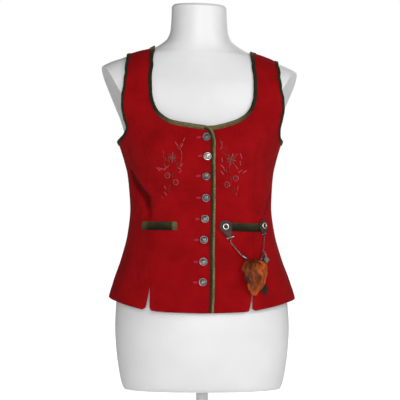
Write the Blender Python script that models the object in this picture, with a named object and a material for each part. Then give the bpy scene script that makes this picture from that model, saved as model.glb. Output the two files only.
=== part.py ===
"""A buttoned folk-dress vest in red wool felt, worn by a white limbless dress form on a short stand.

Front is -Y and up is +Z. The origin lies on the ground under the middle of the stand.
Every size and every table is in millimetres, and MM turns the finished points into metres.
A place on the figure is a pair (turn, z): turn runs from 0 at the centre front over 1 at the
wearer's left side (+X) to 2 at the centre back, and is negative on the wearer's right side.
"""
import math

import bmesh
import bpy
import numpy as np

MM = 0.001

# The figure leans, so its middle line at the hip lies this far from the middle of its width
CENTRE_X = 2.45

# Cloth and seams
WALL = 1.6
SEAM_GAP = 0.3
SEAT = 0.3
BAND_SEAT = {"neck": 0.5, "armhole": 0.65, "front edge": 0.85}
SLIT_TOP = 332.0
SLIT_WIDTH = {-1: 8.0, 1: 4.5}
SLIT_SWAY = {-1: -7.5, 1: -2.8}

# The closure: the wearer's right front lies on the left one
OVERLAP_RAISE = 0.9
UNDERLAP_DROP = 2.7
UNDERLAP_EDGE = -12.0
EDGE_X = 28.0
EDGE_X_HEM = 24.5
CORNER_Z = 612.0

# How far the neck and armholes sit towards the wearer's left, and how the figure leans
OPENING_SHIFT = 6.5
LEAN_AT_HIP = 3.0
LEAN_AT_SHOULDER = -2.5
HIP_Z = 240.0
SHOULDER_Z = 755.0
SHOULDER_DROP = 0.033
DROP_FROM_Z = 600.0
HEM_TILT = 0.011

BUST_HEIGHT = 592.0
BUST_SPREAD = 84.0
BUST_FULLNESS = 9.0
QUARTER_GIRTH = 190.0

NECK_BAND = 8.5
ARM_BAND = 6.2
NECK_NARROWER = 0.32
ARM_NARROWER = 0.28
FRONT_BAND = 7.8

# Stand
FORM_FOOT_Z = 120.0
BASE_RADIUS = 145.0
BASE_THICKNESS = 12.0
POLE_RADIUS = 12.0
FERRULE_RADIUS = 14.5
FERRULE_HEIGHT = 9.0


def table(columns, rows):
    """Named columns of a table written as rows."""
    return {name: np.array([row[i] for row in rows], float) for i, name in enumerate(columns)}


BODY = table(("z", "half_width", "front", "back", "squareness"), (
    (120, 156, 98, 97, 2.4),
    (127, 159.5, 103, 102, 2.4),
    (150, 165, 108, 108, 2.4),
    (199, 171.5, 112, 113, 2.35),
    (240, 173.5, 112, 114, 2.35),
    (290, 171, 109, 111, 2.3),
    (331, 165, 105, 105, 2.3),
    (379, 152, 100, 94, 2.25),
    (427, 141, 95, 84, 2.2),
    (481, 134, 91, 78, 2.2),
    (523, 136, 96, 81, 2.2),
    (559, 140, 107, 87, 2.2),
    (595, 148, 116, 92, 2.2),
    (631, 163, 109, 96, 2.2),
    (655, 186, 101, 98, 2.2),
    (679, 208, 94, 99, 2.2),
    (703, 221, 88, 98, 2.2),
    (727, 222, 81, 93, 2.2),
    (742, 212, 75, 88, 2.2),
    (755, 195, 70, 82, 2.15),
    (764.5, 177, 66.5, 78, 2.1),
    (773, 154, 63.5, 73, 2.1),
    (780, 138, 61, 70, 2.05),
    (787, 117, 59, 67, 2.05),
    (791, 101, 58, 65, 2.0),
    (797, 87.5, 57, 62, 2.0),
    (804.5, 75.5, 56, 60, 2.0),
    (816, 63, 55.5, 58, 2.0),
    (832, 57.5, 55, 56, 2.0),
    (855, 55.5, 54, 55, 2.0),
    (879, 54.8, 53.2, 54.2, 2.0),
    (883, 51.5, 50, 51, 2.0),
))

# Where the flat arm plates cut the form: x at y = 0, over height
PLATE = table(("z", "x"), (
    (605, 146),
    (631, 146),
    (655, 150),
    (679, 159),
    (703, 169),
    (727, 180.5),
    (739, 186),
    (755, 194),
))
PLATE_TURN = 0.2
PLATE_TOP_Z = 756.0
PLATE_FOOT_Z = 612.0

# How far the vest's outer face stands off the form, and how far it is lifted on the shoulders
EASE = table(("z", "side", "front", "back", "lift"), (
    (270, 18.5, 13.5, 10.5, 0),
    (307, 15.5, 11.5, 9, 0),
    (331, 12, 10, 8, 0),
    (379, 8, 8.5, 7, 0),
    (427, 6, 8, 7, 0),
    (481, 7, 8, 7, 0),
    (547, 7.5, 8.5, 6.5, 0),
    (571, 9.5, 8.5, 6, 0),
    (609, 11, 8, 5.5, 0),
    (655, 9, 7, 4.5, 0.3),
    (700, 5, 4.5, 3.5, 0.8),
    (750, 3, 2.8, 2.8, 1.3),
    (790, 2.4, 2.4, 2.4, 1.9),
    (812, 2.2, 2.2, 2.2, 1.9),
))

# Soft folds in the wall: from one place to another, half width in mm, height along the normal
FOLDS = table(("turn_a", "z_a", "turn_b", "z_b", "spread", "height"), (
    (-0.74, 545, -0.51, 500, 9, -2.6),
    (-0.51, 500, -0.47, 468, 6, -2.2),
    (-0.60, 496, -0.57, 474, 8, 1.6),
    (-0.26, 540, -0.14, 484, 12, -1.3),
    (0.84, 508, 0.71, 470, 7, -2.2),
    (0.62, 575, 0.72, 520, 13, 1.6),
    (-0.50, 412, -0.47, 350, 9, -1.3),
    (0.30, 420, 0.38, 350, 14, -1.2),
    (1.25, 560, 1.62, 512, 12, -1.8),
    (-1.22, 548, -1.60, 500, 12, -1.8),
    (1.35, 470, 1.80, 455, 10, -1.6),
    (-1.40, 462, -1.78, 470, 10, -1.4),
))

# Half widths of the openings, measured from their own middle, from below upwards
NECK_FRONT = table(("half", "z"), (
    (14, 638.6),
    (30, 640.9),
    (56, 647.8),
    (73, 655),
    (86, 665.4),
    (94, 678),
    (98.5, 692),
    (100.5, 712),
    (100.5, 738),
    (98, 762),
))
NECK_BACK = table(("half", "z"), (
    (0, 722),
    (28, 723),
    (56, 727.5),
    (78, 737),
    (90, 750),
    (95, 765),
))
NECK_TOP_HALF = 96.0
ARM_FRONT = table(("half", "z"), (
    (158, 616.5),
    (150.8, 632),
    (155.5, 655),
    (159, 680),
    (158.5, 697),
    (154.5, 718),
    (151.5, 741),
    (150, 762),
))
ARM_BACK = table(("half", "z"), (
    (160, 616.5),
    (153, 634),
    (151, 655),
    (150, 680),
    (150, 705),
    (150.5, 730),
    (150.5, 755),
))
ARM_TOP_HALF = 149.5
UNDERARM_Z = 609.0

HEM = table(("turn", "z"), (
    (0, 276),
    (0.25, 278.5),
    (0.4, 284),
    (0.55, 290),
    (0.7, 295.5),
    (1, 300.5),
    (1.5, 293),
    (2, 288),
))

# The side-front and side-back seams: x over height, up to where each meets the armhole
SEAM_FRONT = table(("z", "x"), (
    (270, 98.5),
    (332, 100),
    (430, 103),
    (500, 104.5),
    (570, 107),
    (610, 113),
    (640, 130),
    (672, 158.2),
))
SEAM_BACK = table(("z", "x"), (
    (270, 82),
    (332, 78),
    (430, 68),
    (500, 66),
    (570, 72),
    (620, 86),
    (660, 116),
    (690, 150),
))

BUTTONS = table(("x", "z"), (
    (11.5, 616),
    (13.5, 580.5),
    (11, 542),
    (10.5, 499.5),
    (8.5, 458),
    (6.5, 417.5),
    (5.5, 375),
    (4.5, 335.6),
))
BUTTON_PROFILE = ((0.0, 0.6), (2.6, 0.6), (2.6, 2.1), (7.2, 2.2), (7.7, 3.0), (6.9, 3.8),
                  (4.9, 5.0), (2.5, 5.9), (0.0, 6.1))

WELT_WIDTH = 16.5
WELT_SEAT = 0.5
WELTS = table(("x_from", "z_from", "x_to", "z_to"), (
    (-114, 444.5, -45, 444.5),
    (47, 443.5, 119, 440),
))


# The charm chain: two leather tabs, their chains, a fur tuft, a darker tuft and a small pendant
TAB_LOW = 2.6
TAB_HIGH = 4.8
TABS = table(("x", "z", "radius", "tip_x", "tip_z", "tip_radius"), (
    (48.6, 443, 12.5, 7.5, -20, 4.5),
    (121.5, 444, 11, -3.5, -15, 4),
))
STUD_PROFILE = ((0.0, 5.3), (5.2, 5.3), (6.4, 5.5), (6.2, 6.5), (4.6, 7.2), (3.0, 6.6), (0.0, 6.9))
EYE_HEIGHT = 3.7
EYE_RADIUS = 2.3
LINK_RADIUS = 1.45
CHAIN_ENDS = table(("x", "z", "height"), (
    (78.5, 387.0, 4.6),
    (118.8, 389.5, 6.6),
))
CLASP_ENDS = table(("x", "z", "height"), (
    (88.8, 379.7, 6.7),
    (112.6, 376.0, 10.0),
))
TUFT = table(("z", "x_from", "x_to", "low", "thick"), (
    (378.6, 88, 110, 3.6, 6),
    (374, 85, 115, 4.4, 9),
    (366, 80.5, 118, 5.0, 11),
    (357, 79.5, 118.5, 5.2, 12),
    (349, 83, 119, 5.2, 12),
    (340.5, 85.5, 119, 5.2, 11),
    (331, 88.5, 117, 5.2, 10),
    (324, 91, 115, 5.2, 8.5),
    (317.5, 92.5, 111, 5.2, 6),
    (313.5, 97, 106, 5.2, 3.5),
))
DARK_TUFT = table(("z", "x_from", "x_to", "low", "thick"), (
    (368, 102, 116, 0.7, 3.2),
    (360, 94, 121, 0.5, 4.4),
    (348, 89, 124, 0.5, 4.6),
    (334, 90, 126.5, 0.5, 4.6),
    (322, 94, 129, 0.5, 4.4),
    (315, 98, 129.5, 0.7, 3.0),
))
PENDANT = {"x": 125.0, "z": 376.5, "half_width": 7.6, "half_height": 8.8, "low": 6.4, "thick": 2.2}
PENDANT_LOOP = {"x": 121.4, "z": 392.0, "height": 6.9, "radius": 1.3}


def smooth(xs, ys, x):
    """The smooth curve through a table's rows at x, which never overshoots between two rows."""
    steps = np.diff(xs)
    slopes = np.diff(ys) / steps
    products = slopes[:-1] * slopes[1:]
    sums = np.where(products > 0, slopes[:-1] + slopes[1:], 1.0)
    inner = np.where(products > 0, 2.0 * products / sums, 0.0)
    tangents = np.concatenate(([slopes[0]], inner, [slopes[-1]]))
    x = np.clip(x, xs[0], xs[-1])
    i = np.clip(np.searchsorted(xs, x, side="right") - 1, 0, len(xs) - 2)
    t = (x - xs[i]) / steps[i]
    rise = steps[i] * ((t ** 3 - 2 * t ** 2 + t) * tangents[i] + (t ** 3 - t ** 2) * tangents[i + 1])
    return ys[i] * (2 * t ** 3 - 3 * t ** 2 + 1) + ys[i + 1] * (3 * t ** 2 - 2 * t ** 3) + rise


def ease_in(x, start, end):
    """0 before start, 1 after end and a soft step between them."""
    t = np.clip((x - start) / (end - start), 0.0, 1.0)
    return t * t * (3.0 - 2.0 * t)


def ring(z, dressed):
    """Half width, front and back depth and squareness of the form (0) or the vest's face (1)."""
    low = z - dressed * smooth(EASE["z"], EASE["lift"], z)
    half = smooth(BODY["z"], BODY["half_width"], low) + dressed * smooth(EASE["z"], EASE["side"], z)
    front = smooth(BODY["z"], BODY["front"], low) + dressed * smooth(EASE["z"], EASE["front"], z)
    back = smooth(BODY["z"], BODY["back"], low) + dressed * smooth(EASE["z"], EASE["back"], z)
    return half, front, back, smooth(BODY["z"], BODY["squareness"], low)


def lean_at(z):
    """How far the figure's middle lies towards the wearer's left at height z."""
    share = np.clip((z - HIP_Z) / (SHOULDER_Z - HIP_Z), 0.0, 1.0)
    return LEAN_AT_HIP + (LEAN_AT_SHOULDER - LEAN_AT_HIP) * share


def settle(x, y, z):
    """Lean the figure and drop the wearer's left shoulder, as a last step for every point."""
    x = x + lean_at(z)
    drop = SHOULDER_DROP * x * ease_in(z, DROP_FROM_Z, SHOULDER_Z)
    return np.stack(np.broadcast_arrays(x, y, z - drop), axis=-1)


def skin(turn, z, dressed=1.0):
    """Point of the form's face (dressed 0) or of the vest's outer face (dressed 1)."""
    turn = np.asarray(turn, float)
    z = np.asarray(z, float)
    half, front, back, squareness = ring(z, dressed)
    angle = 0.5 * math.pi * turn
    x = half * np.sign(np.sin(angle)) * np.abs(np.sin(angle)) ** (2.0 / squareness)
    depth = np.where(np.abs(turn) <= 1.0, -front, back)
    y = depth * np.abs(np.cos(angle)) ** (2.0 / squareness)
    cup = ((np.abs(x) - BUST_SPREAD) / 46.0) ** 2 + ((z - BUST_HEIGHT) / 52.0) ** 2
    y = y - dressed * BUST_FULLNESS * np.exp(-cup) * (np.abs(turn) <= 1.0)
    return settle(x, y, z)


def frame_at(turn, z):
    """The vest's point, its steps per turn and per mm of height, and its outward normal."""
    d_turn, d_z = 0.003, 0.4
    along = (skin(turn + d_turn, z) - skin(turn - d_turn, z)) / (2 * d_turn)
    up = (skin(turn, z + d_z) - skin(turn, z - d_z)) / (2 * d_z)
    normal = np.cross(along, up)
    normal /= np.linalg.norm(normal, axis=-1, keepdims=True)
    return skin(turn, z), along, up, normal


def relief(turn, z):
    """Height of the soft folds at a place."""
    height = np.zeros(np.broadcast(turn, z).shape)
    columns = (FOLDS[name] for name in ("turn_a", "z_a", "turn_b", "z_b", "spread", "height"))
    for turn_a, z_a, turn_b, z_b, spread, rise in zip(*columns):
        run_x, run_z = (turn_b - turn_a) * QUARTER_GIRTH, z_b - z_a
        off_x, off_z = (turn - turn_a) * QUARTER_GIRTH, z - z_a
        t = np.clip((off_x * run_x + off_z * run_z) / (run_x ** 2 + run_z ** 2), 0.0, 1.0)
        away = np.hypot(off_x - t * run_x, off_z - t * run_z)
        height = height + rise * np.exp(-(away / spread) ** 2)
    return height


def cloth(turn, z, height=0.0, lap=0.0):
    """Point at a height over the vest's outer face; lap is the front's own step at the closure."""
    point, _, _, normal = frame_at(turn, z)
    lift = np.asarray(height + lap + relief(turn, z))
    return point + normal * lift[..., None]


def lap_step(side, turn, z):
    """The right front is raised where it overlaps, and the left one lies lower under it."""
    x = skin(turn, z)[..., 0]
    front = np.abs(turn) < 1.0
    if side < 0:
        return OVERLAP_RAISE * ease_in(x, -60.0, -14.0) * front
    return -UNDERLAP_DROP * (1.0 - ease_in(x, 30.0, 92.0)) * front


def turn_of(x, z, back=False):
    """The turn at which the vest's face is x wide of its middle at height z."""
    half, _, _, squareness = ring(z, 1.0)
    share = np.clip(np.abs(x) / half, 0.0, 1.0)
    turn = np.arcsin(share ** (squareness / 2.0)) * 2.0 / math.pi
    return np.sign(x) * (2.0 - turn if back else turn)


def place_at(x, z):
    """The place on the front at a point's own x and height."""
    return float(turn_of(x - lean_at(z), z)), float(z)


def height_of(x, turn):
    """The height near the shoulder's crest at which the face is x wide at this turn."""
    low, high = 742.0, 812.0
    for _ in range(40):
        middle = 0.5 * (low + high)
        half, _, _, squareness = ring(middle, 1.0)
        wide = half * math.sin(0.5 * math.pi * turn) ** (2.0 / squareness)
        low, high = (middle, high) if wide > x else (low, middle)
    return 0.5 * (low + high)


def through(points, count):
    """A smooth curve through places (turn, z), read at even steps of its length on the vest."""
    points = np.asarray(points, float)
    ends = np.vstack((2 * points[0] - points[1], points, 2 * points[-1] - points[-2]))
    dense = []
    for a, b, c, d in zip(ends[:-3], ends[1:-2], ends[2:-1], ends[3:]):
        for t in np.linspace(0.0, 1.0, 12, endpoint=False):
            bend = (2 * a - 5 * b + 4 * c - d) * t * t + (3 * b - a - 3 * c + d) * t ** 3
            dense.append(0.5 * (2 * b + (c - a) * t + bend))
    dense.append(points[-1])
    dense = np.array(dense)
    steps = np.linalg.norm(np.diff(skin(dense[:, 0], dense[:, 1]), axis=0), axis=1)
    length = np.concatenate(([0.0], np.cumsum(steps)))
    reads = np.linspace(0.0, length[-1], count)
    return np.column_stack([np.interp(reads, length, dense[:, i]) for i in (0, 1)])


def shoulder_rise(side, half, shift, start_turn, back):
    """Places from start_turn up to the crest of the shoulder, at a constant x."""
    x = half + side * shift
    turns = np.linspace(start_turn, 1.0, 5)[1:]
    return [(side * (2.0 - t if back else t), height_of(x, t)) for t in turns]


def opening_edge(side, rows, top_half, back):
    """Places along one side of the neck or an armhole, from its lowest row up to the crest."""
    places = []
    for half, z in zip(rows["half"], rows["z"]):
        x = side * half + OPENING_SHIFT * ease_in(z, 612.0, 632.0)
        places.append((float(turn_of(x, z, back)), z))
    last = abs(places[-1][0])
    last = 2.0 - last if back else last
    return places + shoulder_rise(side, top_half, OPENING_SHIFT, last, back)


def hem_at(turn, x):
    """Height of the hem at a turn."""
    return float(smooth(HEM["turn"], HEM["z"], abs(turn))) - HEM_TILT * x


def place_on_hem(x, back=False):
    """The place on the hem that is x wide."""
    z = 285.0
    for _ in range(6):
        turn = float(turn_of(x, z, back))
        z = hem_at(turn, x)
    return turn, z


def seam_line(side, rows, back, slit, count):
    """Places up a side-front or side-back seam, from the hem to the armhole."""
    foot = place_on_hem(side * float(rows["x"][0]), back)[1]
    places = []
    for z in np.linspace(foot, rows["z"][-1], 40):
        open_by = 0.5 * slit * np.clip((SLIT_TOP - z) / (SLIT_TOP - foot), 0.0, 1.0)
        x = side * (smooth(rows["z"], rows["x"], z) + open_by)
        if slit:
            x += SLIT_SWAY[side] * np.clip((SLIT_TOP - z) / (SLIT_TOP - foot), 0.0, 1.0)
        x = x + OPENING_SHIFT * ease_in(z, 570.0, rows["z"][-1])
        places.append((float(turn_of(x, z, back)), z))
    return through(places, count)


def inset(places, inward, amount):
    """Move seam places sideways by amount in mm, inward being +1 or -1 in turn."""
    along = frame_at(places[:, 0], places[:, 1])[1]
    moved = places.copy()
    moved[:, 0] += inward * amount / np.linalg.norm(along, axis=1)
    return moved


def split_at(curve, place):
    """Cut a row of places at the one that lies nearest a given place."""
    away = np.hypot((curve[:, 0] - place[0]) * QUARTER_GIRTH, curve[:, 1] - place[1])
    return int(np.argmin(away))


def patch(left, right, bottom, top):
    """Fill the places between four edges, row by row from bottom to top."""
    rows, columns = len(left), len(bottom)
    u = np.linspace(0.0, 1.0, columns)[None, :, None]
    v = np.linspace(0.0, 1.0, rows)[:, None, None]
    sides = (1 - u) * left[:, None] + u * right[:, None]
    ends = (1 - v) * bottom[None] + v * top[None]
    corners = ((1 - u) * (1 - v) * bottom[0] + u * (1 - v) * bottom[-1]
               + (1 - u) * v * top[0] + u * v * top[-1])
    return sides + ends - corners


def collection_object(name, points, faces, material):
    """Make one closed, outward-facing mesh object from points in mm."""
    mesh = bpy.data.meshes.new(name)
    placed = (np.asarray(points, float) + (CENTRE_X, 0.0, 0.0)) * MM
    mesh.from_pydata([tuple(p) for p in placed], [], faces)
    maker = bmesh.new()
    maker.from_mesh(mesh)
    bmesh.ops.recalc_face_normals(maker, faces=maker.faces)
    maker.to_mesh(mesh)
    maker.free()
    mesh.materials.append(material)
    mesh.shade_smooth()
    mesh.set_sharp_from_angle(angle=math.radians(40))
    made = bpy.data.objects.new(name, mesh)
    bpy.context.scene.collection.objects.link(made)
    return made


def grid_faces(rows, columns, first=0, flip=False):
    """Triangles of a grid of points, all split along the same diagonal."""
    faces = []
    for r in range(rows - 1):
        for c in range(columns - 1):
            a = first + r * columns + c
            b, d, e = a + 1, a + columns, a + columns + 1
            faces += [(a, e, b), (a, d, e)] if flip else [(a, b, e), (a, e, d)]
    return faces


def rim_of(rows, columns):
    """Grid points along the rim, once round."""
    rim = list(range(columns))
    rim += [r * columns + columns - 1 for r in range(1, rows)]
    rim += [(rows - 1) * columns + c for c in range(columns - 2, -1, -1)]
    rim += [r * columns for r in range(rows - 2, 0, -1)]
    return rim


def wall(name, places, material, side=0, top=0.0):
    """A cloth wall over a grid of places: its outer points, and the same ones moved in."""
    rows, columns = places.shape[:2]
    turn, z = places[..., 0], places[..., 1]
    lap = lap_step(side, turn, z) if side else 0.0
    outer = cloth(turn, z, top, lap).reshape(-1, 3)
    inner = cloth(turn, z, top - WALL, lap).reshape(-1, 3)
    count = rows * columns
    faces = grid_faces(rows, columns) + grid_faces(rows, columns, count, True)
    rim = rim_of(rows, columns)
    for a, b in zip(rim, rim[1:] + rim[:1]):
        faces += [(a, a + count, b + count), (a, b + count, b)]
    return collection_object(name, np.vstack((outer, inner)), faces, material)


def tube_faces(rings, sides, closed):
    """Triangles of a swept section, with its two ends filled unless it closes on itself."""
    faces = []
    for r in range(rings if closed else rings - 1):
        for c in range(sides):
            a, b = r * sides + c, r * sides + (c + 1) % sides
            d, e = (a + sides) % (rings * sides), (b + sides) % (rings * sides)
            faces += [(a, b, e), (a, e, d)]
    if not closed:
        last = (rings - 1) * sides
        faces.append(tuple(range(sides)))
        faces.append(tuple(last + c for c in reversed(range(sides))))
    return faces


def band(name, places, section, material, inside, closed=False, sides=0, skip=(0, 0),
         upright=0.0):
    """Sweep a section along places: (distance in from the edge, height over the cloth) pairs.

    inside is +1 when the cloth lies to the left of the path as seen from outside, else -1.
    sides names the front whose step at the closure each place follows. skip gives how many
    places at each end only steer the section, and such an end stops short by half a seam gap.
    upright is the share by which the strip is narrower where it runs straight up.
    """
    turn, z = places[:, 0], places[:, 1]
    sides = np.broadcast_to(sides, turn.shape)
    point, along, up, normal = frame_at(turn, z)
    if closed:
        forward = np.roll(point, -1, axis=0) - np.roll(point, 1, axis=0)
    else:
        forward = np.gradient(point, axis=0)
    forward /= np.linalg.norm(forward, axis=1, keepdims=True)
    across = inside * np.cross(normal, forward)
    across /= np.linalg.norm(across, axis=1, keepdims=True)
    grid = np.stack((along, up), axis=2)
    step = np.stack([np.linalg.lstsq(g, a, rcond=None)[0] for g, a in zip(grid, across)])
    narrow = 1.0 - upright * np.abs(forward[:, 2])
    first, last = skip[0], len(turn) - 1 - skip[1]
    points = []
    for i in range(first, last + 1):
        trim = SEAM_GAP * ((i == first and skip[0] > 0) - float(i == last and skip[1] > 0))
        for away, height in section:
            away *= narrow[i] if away > 0.0 else 1.0
            at = np.array(turn[i] + step[i, 0] * away), np.array(z[i] + step[i, 1] * away)
            lap = lap_step(sides[i], *at) if sides[i] else 0.0
            points.append(cloth(*at, height, lap) + forward[i] * trim)
    faces = tube_faces(last - first + 1, len(section), closed)
    return collection_object(name, points, faces, material)


def binding_section(width, place):
    """An L-shaped velvet binding: a rounded strip on the face that turns down over the edge."""
    low = BAND_SEAT[place]
    return ((width, low), (width - 0.6, low + 0.9), (0.5, low + 1.1), (-1.0, low + 0.5),
            (-1.35, -0.4), (-1.1, -WALL), (-SEAT, -WALL), (-SEAT, low), (0.5 * width, low))


def turned(name, profile, centre, normal, material, sides=16):
    """A turned piece: its (radius, height) profile spun about a normal at a point."""
    normal = normal / np.linalg.norm(normal)
    level = np.cross(normal, (0.0, 0.0, 1.0))
    level /= np.linalg.norm(level)
    rise = np.cross(level, normal)
    points = [centre + normal * profile[0][1]]
    for radius, height in profile[1:-1]:
        for k in range(sides):
            angle = 2 * math.pi * k / sides
            spoke = level * math.cos(angle) + rise * math.sin(angle)
            points.append(centre + normal * height + spoke * radius)
    points.append(centre + normal * profile[-1][1])
    faces = []
    rings = len(profile) - 2
    for k in range(sides):
        j = (k + 1) % sides
        faces.append((0, 1 + k, 1 + j))
        for r in range(rings - 1):
            a, b = 1 + r * sides + k, 1 + r * sides + j
            faces.append((a, a + sides, b + sides, b))
        last = 1 + (rings - 1) * sides
        faces.append((last + k, len(points) - 1, last + j))
    return collection_object(name, points, faces, material)


def swept(name, points, radii, sides, material, flatten=None):
    """A tube through points in mm with a radius at each one, and filled ends."""
    points = np.asarray(points, float)
    forward = np.gradient(points, axis=0)
    forward /= np.linalg.norm(forward, axis=1, keepdims=True)
    body = []
    for i, (p, f, radius) in enumerate(zip(points, forward, radii)):
        level = np.cross(f, (0.0, 1.0, 0.0))
        level /= np.linalg.norm(level)
        rise = np.cross(level, f)
        thin = flatten[i] if flatten is not None else 1.0
        for k in range(sides):
            angle = 2 * math.pi * k / sides
            body.append(p + radius * (level * math.cos(angle) + thin * rise * math.sin(angle)))
    return collection_object(name, body, tube_faces(len(points), sides, False), material)


def finish(name, colour, roughness, metallic=0.0):
    """A Principled material."""
    made = bpy.data.materials.new(name)
    made.use_nodes = True
    shader = made.node_tree.nodes["Principled BSDF"]
    shader.inputs["Base Color"].default_value = (*colour, 1.0)
    shader.inputs["Roughness"].default_value = roughness
    shader.inputs["Metallic"].default_value = metallic
    made.diffuse_color = (*colour, 1.0)
    return made


def plate_corner(z, back):
    """The turn at which the arm plate cuts the form's face at height z."""
    low, high = 0.3, 1.0
    x_cut = float(smooth(PLATE["z"], PLATE["x"], z))
    half, front, rear, squareness = (float(v) for v in ring(z, 0.0))
    for _ in range(40):
        middle = 0.5 * (low + high)
        angle = 0.5 * math.pi * middle
        x = half * math.sin(angle) ** (2.0 / squareness)
        y = (rear if back else -front) * math.cos(angle) ** (2.0 / squareness)
        low, high = (middle, high) if x < x_cut + PLATE_TURN * y else (low, middle)
    return 0.5 * (low + high)


def form_half_ring(z, steps_front, steps_plate):
    """Points of the form's wearer's-left half at height z, from centre front to centre back."""
    cut = PLATE_FOOT_Z < z < PLATE_TOP_Z
    front_turn = plate_corner(z, False) if cut else 0.86
    back_turn = plate_corner(z, True) if cut else 0.86
    turns = np.linspace(0.0, front_turn, steps_front + 1)
    front_part = skin(turns, z, 0.0)
    back_part = skin(2.0 - turns[::-1] * back_turn / front_turn, z, 0.0)
    if cut:
        t = np.linspace(0.0, 1.0, steps_plate + 1)[1:-1, None]
        plate = front_part[-1] * (1 - t) + back_part[0] * t
    else:
        between = np.linspace(front_turn, 2.0 - back_turn, steps_plate + 1)[1:-1]
        plate = skin(between, z, 0.0)
    return np.vstack((front_part, plate, back_part))


def mirror_half(points, z):
    """The other half of a ring of the form, mirrored before the figure leans."""
    lean_x = settle(np.array(0.0), np.array(0.0), np.array(z))[0]
    mirrored = points.copy()
    drop = SHOULDER_DROP * ease_in(z, DROP_FROM_Z, SHOULDER_Z)
    mirrored[:, 0] = 2 * lean_x - points[:, 0]
    mirrored[:, 2] = points[:, 2] + drop * (points[:, 0] - mirrored[:, 0])
    return mirrored


def make_dress_form(material):
    """The white limbless torso: rings from its flat foot to its flat neck, cut by arm plates."""
    heights = list(BODY["z"]) + [175, 265, 355, 454, 613, 643, 667, 691, 715, 735, 749]
    heights = sorted(heights)
    points = []
    for z in heights:
        half = form_half_ring(float(z), 7, 2)
        other = mirror_half(half, float(z))[1:-1][::-1]
        points.append(np.vstack((half, other)))
    sides = len(points[0])
    faces = tube_faces(len(heights), sides, False)
    return collection_object("dress_form", np.vstack(points), faces, material)


def make_stand(pole_material, dark_material):
    """A round plate with a short pole, and a dark ferrule right under the form."""
    top = FORM_FOOT_Z - SEAT
    ferrule_foot = top - FERRULE_HEIGHT
    centre = np.array((LEAN_AT_HIP, 0.0, 0.0))
    up = np.array((0.0, 0.0, 1.0))
    base = ((0.0, 0.0), (BASE_RADIUS - 1.5, 0.0), (BASE_RADIUS, 1.5), (BASE_RADIUS, 8.0),
            (BASE_RADIUS - 5.0, 11.0), (BASE_RADIUS - 14.0, BASE_THICKNESS), (0.0, BASE_THICKNESS))
    pole_foot = BASE_THICKNESS + SEAT
    collar_top = pole_foot + 10.0
    pole = ((0.0, pole_foot), (22.0, pole_foot), (22.0, collar_top - 2.0), (20.0, collar_top),
            (POLE_RADIUS, collar_top), (POLE_RADIUS, ferrule_foot - SEAT),
            (0.0, ferrule_foot - SEAT))
    ferrule = ((0.0, ferrule_foot), (FERRULE_RADIUS - 1.0, ferrule_foot),
               (FERRULE_RADIUS, ferrule_foot + 1.0), (FERRULE_RADIUS, top), (0.0, top))
    for name, profile, material, sides in (("stand_base", base, pole_material, 40),
                                           ("stand_pole", pole, pole_material, 24),
                                           ("stand_ferrule", ferrule, dark_material, 24)):
        spun(name, profile, centre, up, material, sides)


def spun(name, profile, centre, normal, material, sides):
    """A turned piece about an upright axis."""
    points = [centre + normal * profile[0][1]]
    for radius, height in profile[1:-1]:
        for k in range(sides):
            angle = 2 * math.pi * k / sides
            points.append(centre + np.array((radius * math.cos(angle), radius * math.sin(angle),
                                             height)))
    points.append(centre + normal * profile[-1][1])
    faces = []
    rings = len(profile) - 2
    last = 1 + (rings - 1) * sides
    for k in range(sides):
        j = (k + 1) % sides
        faces.append((0, 1 + k, 1 + j))
        for r in range(rings - 1):
            a, b = 1 + r * sides + k, 1 + r * sides + j
            faces.append((a, a + sides, b + sides, b))
        faces.append((last + k, len(points) - 1, last + j))
    return collection_object(name, points, faces, material)


# Rows of a front or back, from the hem up: the edge, its corner, the foot of the neck, the strap
EDGE_ROWS = 13
CORNER_ROWS = 4
NECK_ROWS = 8
STRAP_ROWS = 11
SEAM_ROWS = EDGE_ROWS + CORNER_ROWS + NECK_ROWS
FRONT_COLUMNS = 8
SIDE_COLUMNS = 6
BACK_COLUMNS = 7
STRAP_FROM = 5


def front_edge(side):
    """Places up the front edge of one front: its straight run, then the run up to the neckline."""
    if side > 0:
        run = [place_on_hem(UNDERLAP_EDGE)] + [place_at(UNDERLAP_EDGE, z) for z in (400, 520, 600)]
        return run, [run[-1], place_at(UNDERLAP_EDGE, 619), place_at(UNDERLAP_EDGE, 637.9)]
    run = [place_on_hem(EDGE_X_HEM - LEAN_AT_HIP)]
    run += [place_at(x, z) for x, z in ((26.5, 355), (28, 485), (EDGE_X, CORNER_Z - 12))]
    corner = [run[-1]]
    corner += [place_at(x, z) for x, z in ((27.4, 612.5), (24.2, 625.8), (17.5, 634.8), (8, 638.1))]
    return run, corner


def neck_front(side):
    """Places along the front neckline, from near the closure up to the crest."""
    return opening_edge(side, NECK_FRONT, NECK_TOP_HALF, False)


def run_of(places, count):
    """Evenly read places along a curve, without the last one."""
    return through(places, count + 1)[:-1]


def neck_and_strap(places, strap_from, neck_rows):
    """Rows along a neckline, then up the strap from its given place to the crest."""
    dense = through(places, 400)
    cut = split_at(dense, places[strap_from])
    neck = np.round(np.linspace(0, cut, neck_rows + 1)).astype(int)[:-1]
    strap = np.round(np.linspace(cut, len(dense) - 1, STRAP_ROWS + 1)).astype(int)
    return dense[np.concatenate((neck, strap))]


def arm_and_seam(side, seam, rows, back):
    """Rows up a seam to the armhole, then up the armhole to the crest."""
    lower = seam[np.round(np.linspace(0, len(seam) - 1, SEAM_ROWS + 1)).astype(int)]
    arm = through(opening_edge(side, rows, ARM_TOP_HALF, back), 400)
    upper = arm[split_at(arm, seam[-1]):]
    upper = upper[np.round(np.linspace(0, len(upper) - 1, STRAP_ROWS + 1)).astype(int)]
    return np.vstack((lower, upper[1:]))


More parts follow.
